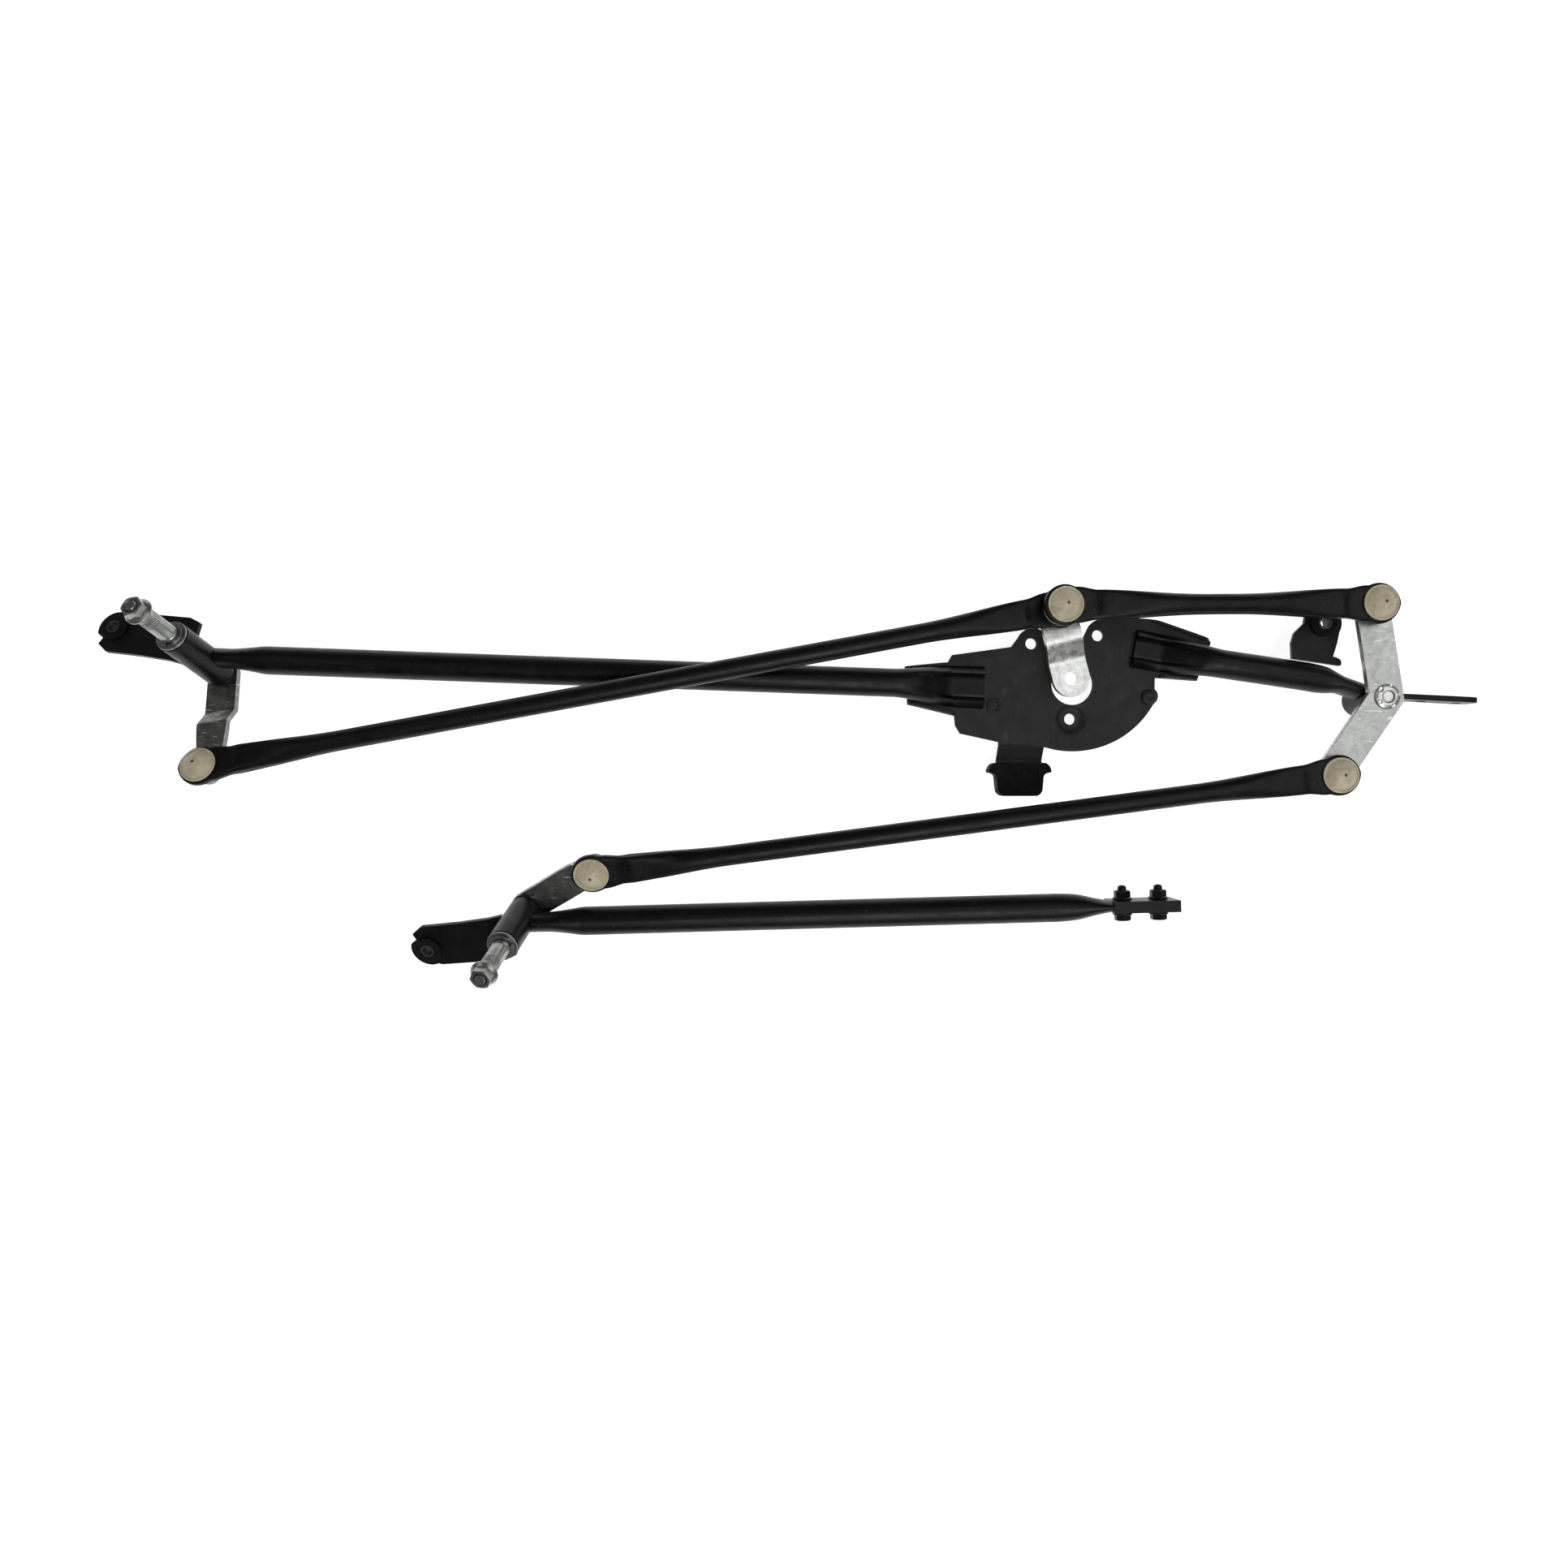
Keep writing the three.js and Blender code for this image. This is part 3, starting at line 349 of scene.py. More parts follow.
class Finish:
    """A procedural material whose patterns follow each piece's own coordinates, in metres."""

    def __init__(self, name, **constants):
        self.material = bpy.data.materials.new(name)
        self.material.use_nodes = True
        self.tree = self.material.node_tree
        self.shader = self.tree.nodes["Principled BSDF"]
        self.place = node_of(self.tree, "ShaderNodeTexCoord").outputs["Object"]
        for key, value in constants.items():
            self.shader.inputs[key.replace("_", " ")].default_value = value
        self.height = None

    def link(self, a, b):
        self.tree.links.new(a, b)

    def stretched(self, scale):
        mapping = node_of(self.tree, "ShaderNodeMapping")
        mapping.inputs["Scale"].default_value = scale
        self.link(self.place, mapping.inputs["Vector"])
        return mapping.outputs["Vector"]

    def noise(self, scale, detail=4.0, rough=0.55, distortion=0.0, stretch=None):
        node = node_of(self.tree, "ShaderNodeTexNoise", Scale=scale, Detail=detail, Roughness=rough,
                       Distortion=distortion)
        self.link(self.stretched(stretch) if stretch else self.place, node.inputs["Vector"])
        return node.outputs["Fac"]

    def cells(self, scale, randomness=1.0):
        node = node_of(self.tree, "ShaderNodeTexVoronoi", Scale=scale, Randomness=randomness)
        self.link(self.place, node.inputs["Vector"])
        return node.outputs["Color"]

    def ramp(self, source, stops):
        node = node_of(self.tree, "ShaderNodeValToRGB")
        elements = node.color_ramp.elements
        while len(elements) < len(stops):
            elements.new(0.5)
        for element, (at, colour) in zip(elements, stops):
            element.position = at
            element.color = (*colour, 1) if isinstance(colour, tuple) else (colour, colour, colour, 1)
        self.link(source, node.inputs["Fac"])
        return node.outputs["Color"]

    def spread(self, source, low, high, start=0.3, end=0.7):
        node = node_of(self.tree, "ShaderNodeMapRange")
        for key, value in zip(("From Min", "From Max", "To Min", "To Max"), (start, end, low, high)):
            node.inputs[key].default_value = value
        self.link(source, node.inputs["Value"])
        return node.outputs["Result"]

    def mixed(self, factor, a, b, kind="MIX"):
        node = node_of(self.tree, "ShaderNodeMix", data_type="RGBA", blend_type=kind)
        sockets = [node.inputs["Factor"]] + [s for s in node.inputs if s.type == "RGBA"]
        for socket, value in zip(sockets, (factor, a, b)):
            if isinstance(value, tuple):
                socket.default_value = (*value, 1)
            elif isinstance(value, (int, float)):
                socket.default_value = value
            else:
                self.link(value, socket)
        return next(s for s in node.outputs if s.type == "RGBA")

    def colour(self, source):
        self.link(source, self.shader.inputs["Base Color"])

    def roughness(self, source):
        self.link(source, self.shader.inputs["Roughness"])

    def bump(self, source, strength, distance=0.0002):
        node = node_of(self.tree, "ShaderNodeBump", Strength=strength, Distance=distance)
        self.link(source, node.inputs["Height"])
        if self.height:
            self.link(self.height, node.inputs["Normal"])
        self.height = node.outputs["Normal"]
        self.link(self.height, self.shader.inputs["Normal"])


def scratches(finish, scale, stretch, low, high):
    """Thin lines where a strongly stretched noise passes its highest values."""
    return finish.spread(finish.noise(scale, 2.0, 0.4, 0.4, stretch), 0.0, 1.0, low, high)


def black_paint():
    f = Finish("black_paint_finish", Metallic=0.0)
    f.shader.inputs["Specular IOR Level"].default_value = 0.2
    body = f.ramp(f.noise(60, 5), [(0.35, (0.0017, 0.0017, 0.0018)), (0.7, (0.0038, 0.0036, 0.0035))])
    dust = scratches(f, 700, None, 0.70, 0.78)
    f.colour(f.mixed(dust, body, (0.05, 0.048, 0.045)))
    f.roughness(f.spread(f.noise(110, 6), 0.3, 0.47))
    f.bump(f.noise(900, 3), 0.10, 0.0001)
    f.bump(f.noise(45, 2), 0.12, 0.0006)
    return f.material


def plate_paint():
    f = Finish("plate_paint_finish", Metallic=0.0)
    f.shader.inputs["Specular IOR Level"].default_value = 0.3
    body = f.ramp(f.noise(38, 6), [
        (0.3, (0.0125, 0.0118, 0.0115)),
        (0.55, (0.0165, 0.0150, 0.0145)),
        (0.75, (0.0235, 0.0195, 0.0185)),
    ])
    rubbed = scratches(f, 260, (1, 0.25, 1), 0.66, 0.80)
    f.colour(f.mixed(rubbed, body, (0.045, 0.040, 0.037)))
    f.roughness(f.spread(f.noise(90, 6), 0.48, 0.66))
    f.bump(f.noise(1300, 3), 0.18, 0.0001)
    f.bump(f.noise(60, 3), 0.15, 0.0004)
    return f.material


def zinc(name, dark, mid, light, rough, smear, scratch):
    """Plated sheet: a cloudy spangle, fine brush marks along the strip and a few deeper scratches."""
    f = Finish(name, Metallic=1.0)
    cloud = f.ramp(f.noise(150, 6, 0.62, 0.6), [(0.28, dark), (0.5, mid), (0.74, light)])
    spangle = f.ramp(f.cells(420), [(0.1, 0.82), (0.9, 1.0)])
    body = f.mixed(smear, cloud, spangle, "MULTIPLY")
    marks = scratches(f, 90, (1, 9, 1), 0.67, 0.72)
    f.colour(f.mixed(marks, body, (scratch, scratch, scratch * 0.98)))
    f.roughness(f.spread(f.noise(220, 6, 0.65), rough - 0.07, rough + 0.12))
    f.bump(f.noise(500, 3, 0.6, 0.0, (9, 1, 1)), 0.06, 0.0001)
    f.bump(f.noise(120, 4), 0.10, 0.0003)
    return f.material


def steel(name, dark, light, rough):
    f = Finish(name, Metallic=1.0)
    f.colour(f.ramp(f.noise(120, 4), [(0.3, dark), (0.7, light)]))
    f.roughness(f.spread(f.noise(200, 4), rough, rough + 0.1))
    f.bump(f.noise(700, 3), 0.03, 0.0001)
    return f.material


def cup_plastic():
    f = Finish("cup_plastic_finish", Metallic=0.0)
    f.shader.inputs["Subsurface Weight"].default_value = 0.06
    f.shader.inputs["Subsurface Scale"].default_value = 0.003
    f.colour(f.ramp(f.noise(160, 6, 0.6, 0.8), [
        (0.25, (0.42, 0.365, 0.245)),
        (0.55, (0.56, 0.495, 0.35)),
        (0.8, (0.68, 0.61, 0.45)),
    ]))
    f.roughness(f.spread(f.noise(300, 5), 0.42, 0.58))
    f.bump(f.noise(1400, 3), 0.10, 0.0001)
    return f.material


def rubber():
    f = Finish("rubber_finish", Metallic=0.0)
    f.shader.inputs["Specular IOR Level"].default_value = 0.18
    f.colour(f.ramp(f.noise(120, 5), [(0.3, (0.0022, 0.0022, 0.0022)), (0.75, (0.0065, 0.0062, 0.0060))]))
    f.roughness(f.spread(f.noise(260, 5), 0.72, 0.92))
    f.bump(f.noise(1600, 4), 0.30, 0.0001)
    return f.material


def bronze():
    f = Finish("bronze_finish", Metallic=1.0)
    f.colour(f.ramp(f.noise(900, 4), [(0.3, (0.22, 0.13, 0.05)), (0.7, (0.42, 0.28, 0.12))]))
    f.roughness(f.spread(f.noise(600, 4), 0.38, 0.6))
    f.bump(f.noise(1800, 3), 0.25, 0.0001)
    return f.material


MATERIALS = {
    "black_paint": black_paint(),
    "plate_paint": plate_paint(),
    "bright_zinc": zinc("bright_zinc_finish", (0.50, 0.51, 0.50), (0.68, 0.69, 0.67), (0.82, 0.83, 0.81),
                        rough=0.28, smear=0.6, scratch=0.88),
    # A darker copy of the bright zinc for the bell crank plate: painted shade that dims the plate below what
    # the lamps give it.
    "bell_zinc_painted_shade": zinc("bell_zinc_painted_shade_finish", (0.38, 0.39, 0.38), (0.45, 0.46, 0.445), (0.54, 0.55, 0.53),
                      rough=0.34, smear=0.35, scratch=0.7),
    "dark_zinc": zinc("dark_zinc_finish", (0.14, 0.147, 0.14), (0.20, 0.207, 0.197), (0.36, 0.36, 0.34),
                      rough=0.40, smear=0.6, scratch=0.85),
    "bright_steel": steel("bright_steel_finish", (0.25, 0.255, 0.245), (0.34, 0.35, 0.335), 0.28),
    "dull_steel": steel("dull_steel_finish", (0.055, 0.052, 0.045), (0.11, 0.104, 0.09), 0.5),
    "cup_plastic": cup_plastic(),
    "rubber": rubber(),
    "bronze": bronze(),
}


def dark_mark():
    """The dark sprue mark in the middle of a moulded cup."""
    f = Finish("sprue_mark_finish", Metallic=0.0)
    f.colour(f.ramp(f.noise(1500, 3), [(0.3, (0.05, 0.04, 0.03)), (0.7, (0.12, 0.10, 0.08))]))
    f.roughness(f.spread(f.noise(900, 3), 0.55, 0.75))
    f.bump(f.noise(2500, 2), 0.2, 0.0001)
    return f.material


SPRUE = dark_mark()


def finish(obj, node, slot, bevel=0.4, segments=2, look=None):
    """Rounds the edges, scales to metres and lets the piece stand for its CAD node.

    A look is the name of a material shown instead of the slot's own.
    """
    obj.data.shade_smooth()
    if bevel:
        edges = obj.modifiers.new("edges", "BEVEL")
        edges.width = bevel
        edges.segments = segments
        edges.limit_method = "ANGLE"
        edges.angle_limit = math.radians(32)
        edges.harden_normals = True
        bake(obj)
    else:
        obj.data.set_sharp_from_angle(angle=math.radians(35))
    obj.data.transform(Matrix.Scale(MM, 4))
    obj.name = node + "_fine"
    obj.data.name = obj.name
    obj.data.materials.clear()
    obj.data.materials.append(MATERIALS[look or slot])
    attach(obj, NODE_BODY[node])
    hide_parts(node)
    return obj


# ---------------------------------------------------------------- ball joints


def ball_arc(start, end):
    return arc(0, 0, BALL_RADIUS, start, end, 14)


def cavity_arc(start, end):
    return arc(0, 0, CUP["cavity"], start, end, 12)


def cup_skirt():
    body, skirt, rim, low, high = (CUP[k] for k in ("body", "skirt", "rim", "rim_low", "rim_high"))
    return [(7.6, skirt), (9.2, skirt), (body, skirt + 1), (body, low), (rim - 0.5, low),
            (rim, low + 0.5), (rim, high - 0.4), (rim - 0.4, high)]


def closed_cup():
    """A low dome inside a thin rim."""
    mouth = math.asin(-4 / CUP["cavity"])
    cavity = cavity_arc(math.pi / 2, mouth)
    cavity[0] = (0, CUP["cavity"])
    low, edge = CUP["rim_high"] - 0.5, CUP["rim"] - 1.5
    steps = [1 - i / 16 for i in range(17)]
    dome = [(edge * step, low + (CUP["top"] - low) * (1 - step ** 2)) for step in steps]
    return turned(cavity + cup_skirt() + [(edge + 0.5, CUP["rim_high"])] + dome)


def open_cup():
    mouth = math.asin(4 / CUP["cavity"])
    cavity = cavity_arc(mouth, -mouth)
    return turned(cavity + cup_skirt() + [(11.4, 3.9), (8, 4.9), (7.2, 4.8)], closed=True)


def riveted_shank(low, top):
    """The stud's riveted head, its shank through the strap and the foot of its shoulder."""
    return [(0, low - 2.4), (4.6, low - 2.4), (5.8, low - 1.9), (6.2, low - 1.3), (6.2, low - GAP),
            (STUD_SHANK, low - GAP), (STUD_SHANK, top + GAP), (5.6, top + GAP), (5.6, top + 0.9)]


def ball_stud(top, low):
    ball = ball_arc(-NECK_ANGLE, math.pi / 2)[:-1]
    return turned([*riveted_shank(low, top), (NECK_RADIUS, top + 1.6), *ball, (0, BALL_RADIUS)])


# ---------------------------------------------------------------- link rods


def rod_half_width(distance):
    """Half the rod's width at a distance from the eye's centre, from the round eye to the round tube."""
    eye = math.sqrt(max(EYE["outer"] ** 2 - distance ** 2, 0.2)) if abs(distance) < EYE["outer"] else 0
    if distance < 0:
        return eye
    flat = FLAT_HALF_WIDTH + (ROD_RADIUS - FLAT_HALF_WIDTH) * smooth((distance - 22) / 75)
    neck = flat + 2.2 * (1 - smooth((distance - 9) / 14))
    return max(eye, neck if distance > 7 else 0)


def rod_half_height(distance):
    rise = smooth((distance - 19) / 9)
    full = smooth((distance - 30) / 44)
    return FLAT_HALF_HEIGHT + 1.5 * rise + (ROD_RADIUS - FLAT_HALF_HEIGHT - 1.5) * full


def link_rod(start, end, start_axis, end_axis):
    """A tube whose ends are pressed flat, widened into an eye and bored for a plastic cup."""
    length = (end - start).length
    x = (end - start).normalized()
    y = UP.cross(x).normalized()
    z = x.cross(y)
    rolls = [math.atan2(-axis.dot(y), axis.dot(z)) for axis in (start_axis, end_axis)]
    outer = EYE["outer"]
    near = [-outer + 0.02, -outer + 0.15, -outer + 0.5, -outer + 1.2, -outer + 2.2]
    near += [-outer + 3.5 + 1.6 * i for i in range(18)] + [20 + 2.5 * i for i in range(33)]
    stations = near + [length - d for d in reversed(near)]
    rings = []
    for station in stations:
        distance = min(station, length - station)
        wide = rod_half_width(distance)
        high = rod_half_height(distance)
        squareness = 1 - smooth((distance - 24) / 50)
        roll = (rolls[0] if station < length / 2 else rolls[1]) * (1 - smooth((distance - 39) / 34))
        loop = []
        for s in range(40):
            angle = 2 * math.pi * s / 40
            power = 1 - 0.62 * squareness
            side = wide * math.copysign(abs(math.cos(angle)) ** power, math.cos(angle))
            up = high * math.copysign(abs(math.sin(angle)) ** power, math.sin(angle))
            loop.append(Vector((station, side * math.cos(roll) - up * math.sin(roll),
                                side * math.sin(roll) + up * math.cos(roll) - ROD_DROP)))
        rings.append(loop)
    bores = [shift(turn(disc(EYE["bore"], -12, 9), roll, "X"), at, 0, 0)
             for roll, at in zip(rolls, (0, length))]
    # Two small punch dents on the flat stretch beside each eye.
    dents = []
    for roll, at, way in zip(rolls, (0, length), (1, -1)):
        for side in (-DENT["apart"], DENT["apart"]):
            dent = turned([(0, -0.35), (0.9, 0.25), (0.9, 2), (0, 2)], 20)
            shift(dent, way * DENT["reach"], side, rod_half_height(DENT["reach"]) - ROD_DROP + 0.1)
            dents.append(shift(turn(dent, roll, "X"), at, 0, 0))
    placing = Matrix.Translation(start) @ Matrix((x, y, z)).transposed().to_4x4()
    return moved(cut(loft(rings), *bores, *dents), placing)


def eye_axis(start, end, stud_axis):
    x = (end - start).normalized()
    return (stud_axis - x * stud_axis.dot(x)).normalized()


def add_cup(node, shape, centre, start, end, stud_axis):
    placing = frame_at(centre, eye_axis(start, end, stud_axis), centre + end - start)
    finish(moved(shape, placing), node, "cup_plastic", bevel=0)
    if "long_rod_cup_crank" in node:
        return
    # The sprue mark, in the middle of the face.
    mark = turned([(0, 0.02), (0.9, 0.02), (1.1, 0.1), (0.9, 0.18), (0, 0.18)], 24)
    moved(shift(mark, 0, 0, CUP["top"] - 0.16), placing)
    mark.data.shade_smooth()
    mark.data.transform(Matrix.Scale(MM, 4))
    mark.name = node + "_sprue"
    mark.data.materials.append(SPRUE)
    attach(mark, NODE_BODY[node])


def add_rods():
    finish(link_rod(LEFT_BALL, CRANK_LOW_BALL, LEFT_AXIS, UP), "long_rod", "black_paint", bevel=0)
    add_cup("long_rod_cup_left", closed_cup(), LEFT_BALL, LEFT_BALL, CRANK_LOW_BALL, LEFT_AXIS)
    add_cup("long_rod_cup_crank", open_cup(), CRANK_LOW_BALL, LEFT_BALL, CRANK_LOW_BALL, UP)
    finish(link_rod(CRANK_TOP_BALL, BELLCRANK_TOP_BALL, UP, UP), "short_rod", "black_paint", bevel=0)
    add_cup("short_rod_cup_crank", closed_cup(), CRANK_TOP_BALL, CRANK_TOP_BALL, BELLCRANK_TOP_BALL, UP)
    add_cup("short_rod_cup_bellcrank", closed_cup(), BELLCRANK_TOP_BALL, CRANK_TOP_BALL, BELLCRANK_TOP_BALL,
            UP)
    waist = CRANK_LOW_BALL.z - CRANK_TOP_BALL.z + 7.5
    sphere = ball_arc(-NECK_ANGLE, math.pi / 2)[:-1]
    ball = turned([(0, waist), (NECK_RADIUS, waist), *sphere, (0, BALL_RADIUS)])
    finish(shift(ball, *CRANK_TOP_BALL), "crank_stud_upper_ball", "bright_steel", bevel=0)
    finish(link_rod(SECOND_BALL, BELLCRANK_LOW_BALL, SECOND_AXIS, UP), "lower_rod", "black_paint", bevel=0)
    add_cup("lower_rod_cup_second", closed_cup(), SECOND_BALL, SECOND_BALL, BELLCRANK_LOW_BALL, SECOND_AXIS)
    add_cup("lower_rod_cup_bellcrank", closed_cup(), BELLCRANK_LOW_BALL, SECOND_BALL, BELLCRANK_LOW_BALL, UP)


# ---------------------------------------------------------------- straps: crank, levers, bell crank


def eased(t):
    """The running sum of a smooth step, which makes a rounded bend."""
    if t <= 0:
        return 0
    return t ** 3 - t ** 4 / 2 if t < 1 else t - 0.5


def strap(length, half_width, low, rise, thick, ramp, bend=4.5, tip=None):
    """A round-ended strip, flat at low near its hub and flat again, higher by rise, beyond its ramp."""
    tip = tip or half_width
    ends = [1 - math.cos(math.pi / 2 * i / 14) for i in range(15)]
    stations = [half_width * (e - 1) for e in ends]
    stations += [2 + (length - 4) * i / 70 for i in range(71)]
    stations += [length + tip * (1 - e) for e in reversed(ends)]
    slope = rise / (ramp[1] - ramp[0])
    rings = []
    for x in stations:
        past = max(-x, x - length, 0)
        round_end = half_width + (tip - half_width) * smooth((x - ramp[1]) / (length - ramp[1]))
        wide = math.sqrt(max(round_end ** 2 - past ** 2, 0.02))
        climbed = [eased((x - turning + bend / 2) / bend) for turning in ramp]
        z = low + slope * bend * (climbed[0] - climbed[1])
        rings.append([(x, -wide, z), (x, wide, z), (x, wide, z + thick), (x, -wide, z + thick)])
    return loft(rings)


def add_crank():
    flat = Vector((CRANK_LOW_BALL.x, CRANK_LOW_BALL.y, 0))
    reach = flat.length
    hub, rise, thick = CRANK["hub_z"], CRANK["rise"], CRANK["thick"]
    arm = strap(reach, CRANK["half_width"], hub, rise, thick, CRANK["ramp"], bend=7)
    # A shallow pressed step round the hub's bore.
    step = ring(8.7, 9.6, hub + thick - 0.22, hub + thick + 2)
    arm = cut(arm, disc(CRANK["bore"], 0, 30), shift(disc(STUD_HOLE, 0, 40), reach, 0, 0), step)
    finish(moved(arm, frame_at(Vector(), UP, flat)), "crank_arm", "bright_zinc", bevel=0.45)
    low = hub + rise - CRANK_LOW_BALL.z
    ball = ball_arc(-NECK_ANGLE, NECK_ANGLE)
    stud = turned([*riveted_shank(low, low + thick), *ball, (NECK_RADIUS, 5), (0, 5)])
    finish(shift(stud, *CRANK_LOW_BALL), "crank_stud", "bright_steel", bevel=0)


def bellcrank_outline():
    arms = []
    for ball in (BELLCRANK_TOP_BALL, BELLCRANK_LOW_BALL):
        x, y = ball.x - BELLCRANK_AXIS.x, ball.y - BELLCRANK_AXIS.y
        arms.append((math.hypot(x, y), math.atan2(y, x) % (2 * math.pi)))
    (upper, upper_way), (lower, lower_way) = arms
    middle = (upper_way + lower_way) / 2
    mitre = BELL["half_width"] / math.sin((lower_way - upper_way) / 2)
    half = math.pi / 2

    def end(reach, way):
        x, y = reach * math.cos(way), reach * math.sin(way)
        return arc(x, y, BELL["half_width"], way - half, way + half, 24)

    inner = (mitre * math.cos(middle), mitre * math.sin(middle))
    outer = (-mitre * math.cos(middle), -mitre * math.sin(middle))
    return end(upper, upper_way) + [inner] + end(lower, lower_way) + [outer]


def add_bellcrank():
    at = BELLCRANK_AXIS
    top = BELL["z"] + BELL["thick"]
    plate = slab(bellcrank_outline(), BELL["z"], top)
    holes = [shift(disc(STUD_HOLE, 0, 60), ball.x - at.x, ball.y - at.y, 0)
             for ball in (BELLCRANK_TOP_BALL, BELLCRANK_LOW_BALL)]
    cut(plate, disc(SPINDLE_RADIUS + GAP, 0, 60), *holes)
    # The plate shows the darker copy of its bright zinc, painted shade that makes it read dimmer than the
    # lamps light it.
    finish(shift(plate, *at), "bellcrank_plate", "bright_zinc", bevel=0.45, look="bell_zinc_painted_shade")
    low = BELL["low"]
    pin = turned([
        (0, low - 3.6), (7.1, low - 3.6), (7.5, low - 3.2), (7.5, low - 2.1), (SPINDLE_RADIUS, low - 2.1),
        (SPINDLE_RADIUS, top + GAP), (8.3, top + GAP), (8.6, top + 0.7), (8.2, top + 1.5), (6.6, top + 2.2),
        (4.6, top + 2.3), (3.6, top + 1.2), (2.2, top + 0.9), (0, top + 1.3),
    ])
    # Blows of the staking tool leave the head lumpy, with deep notches on its left.
    blows = []
    for way, reach, radius, depth in ((2.4, 7.4, 2.6, 1.5), (3.7, 7.0, 2.2, 1.2), (1.3, 7.8, 2.0, 1.4),
                                      (5.2, 7.6, 2.4, 1.3), (0.2, 8.0, 1.9, 1.0)):
        blow = turned([(0, -depth), (radius * 0.7, -depth * 0.5), (radius, 1.4), (radius, 4), (0, 4)], 24)
        blows.append(shift(blow, reach * math.cos(way), reach * math.sin(way), top + 1.9))
    cut(pin, *blows)
    finish(shift(pin, *at), "bellcrank_pin", "bright_zinc", bevel=0.2, segments=1)
    clip = ring(SPINDLE_RADIUS + GAP, 9, low - 1.6, low - GAP)
    finish(shift(clip, *at), "bellcrank_retaining_clip", "bright_steel", bevel=0.2)
    radius = BELL["radius"]
    high = BELL["high"]
    barrel = turned([
        (BARREL_BORE, low), (radius - 0.8, low), (radius, low + 1), (radius, high), (BARREL_BORE, high),
    ], closed=True)
    finish(shift(barrel, *at), "bellcrank_barrel", "black_paint", bevel=0.5)
    bush = ring(SPINDLE_RADIUS + GAP, BARREL_BORE - GAP, low + 0.5, high - 0.4)
    finish(shift(bush, *at), "bellcrank_bush", "bronze", bevel=0.2)
    for place, ball in (("upper", BELLCRANK_TOP_BALL), ("lower", BELLCRANK_LOW_BALL)):
        stud = shift(ball_stud(top - ball.z, BELL["z"] - ball.z), *ball)
        finish(stud, "bellcrank_stud_" + place, "bright_steel", bevel=0)


# ---------------------------------------------------------------- motor plate and foot


def plate_outline():
    left = [(-115.6, 9.8), (-113.8, -17.5), (-80.2, -25.6), (-79.6, -32.5), (-76.1, -38.3), (-49.5, -44.1)]
    bottom = [(-14.7, -48.2)]
    round_edge = arc(4.5, 15, 66, math.atan2(-63.2, -19.2), math.atan2(-32.8, 57.4), 40)
    lobe = arc(59, -11.5, 6.4, -0.9, 0.9, 12)
    right = [(63.1, 1.6), (93.2, -0.6), (103.1, 26.6), (101.3, 29.5), (61.3, 43.4), (47.4, 44.6)]
    ear = arc(26, 31.8, 12, 1.35, 2.75, 14)
    notch = [(9.5, 25), (3, 22.4), (-8, 22.4)]
    other_ear = arc(-24.1, 25.9, 11.4, 0.25, 2.75, 20)
    top = [(-39.6, 23.7), (-81.9, 17.9), (-84.8, 12.7)]
    return left + bottom + round_edge + lobe + right + ear + notch + other_ear + top


def foot_tab():
    x0, x1, y0, bend, end, drop = (FOOT_TAB[k] for k in ("x0", "x1", "y0", "bend", "end", "drop"))
    side = [(y0 + 6, 0), (y0 + 6, -PLATE_THICK), (y0 - 0.6, -PLATE_THICK), (bend - 0.6, -drop - PLATE_THICK),
            (end, -drop - PLATE_THICK), (end, -drop), (bend, -drop), (y0, 0)]
    strip = slab(side, 0, x1 - x0)
    turning = Matrix(((0, 0, 1), (1, 0, 0), (0, 1, 0))).to_4x4()
    return shift(moved(strip, turning), x0, 0, 0)


def edge_wall(x0, y0, x1, y1, height, thick=1.8):
    length = math.hypot(x1 - x0, y1 - y0)
    side = softened([(0, -1), (length, -1), (length, height * 0.55), (length - 4, height), (4, height),
                     (0, height * 0.55)], 2)
    wall = turn(slab(side, -thick, 0), math.pi / 2, "X")
    return shift(turn(wall, math.atan2(y1 - y0, x1 - x0), "Z"), x0, y0, 0)


def add_motor_plate():
    dimple_x, dimple_y = MOTOR_SCREWS[2]
    plate = slab(plate_outline(), -PLATE_THICK, 0)
    hollow = turned([
        (0, -2.5), (6.6, -2.5), (7.6, -2.3), (9.2, -1.3), (10.4, -0.35), (12.4, 0), (12.4, 1), (0, 1),
    ])
    cut(plate, shift(hollow, dimple_x, dimple_y, 0))
    dish = turned([
        (0, -PLATE_THICK - 2.5), (8, -PLATE_THICK - 2.5), (12.6, -PLATE_THICK), (12.6, -PLATE_THICK + 0.6),
        (11, -PLATE_THICK + 0.6), (7, -2.5), (0, -2.5),
    ])
    runs = [(-113.6, -17.3, -80.5, -25.4), (-84.9, 12.5, -115.4, 9.6), (101.2, 29.3, 62, 43),
            (66, 1.5, 92.8, -0.5)]
    walls = [edge_wall(*run, WALL_HEIGHT) for run in runs]
    # A clinch joint near the left tube's end: a raised collar round a deep dimple.
    clinch = turned([(0, -0.5), (5.6, -0.5), (5.4, 0.5), (4.4, 1.0), (3.4, 0.9), (2.6, -0.4), (0, -0.9)], 40)
    # A rivet on the lobe: a domed head with a small recess.
    rivet = turned([(0, -0.5), (5.4, -0.5), (5.3, 1.2), (4.4, 2.2), (2.6, 2.7), (1.6, 2.3), (0, 2.2)], 40)
    join(plate, shift(dish, dimple_x, dimple_y, 0), foot_tab(), *walls,
         shift(clinch, *CLINCH, 0), shift(rivet, *RIVET, 0))
    bores = [shift(disc(MOTOR_SCREW_RADIUS, -20, 20), x, y, 0) for x, y in MOTOR_SCREWS]
    boss = shift(disc(MOTOR_HOLE["radius"], -20, 20, 96), MOTOR_HOLE["x"], MOTOR_HOLE["y"], 0)
    cut(plate, boss, *bores)
    finish(plate, "motor_plate", "plate_paint", bevel=0.35)


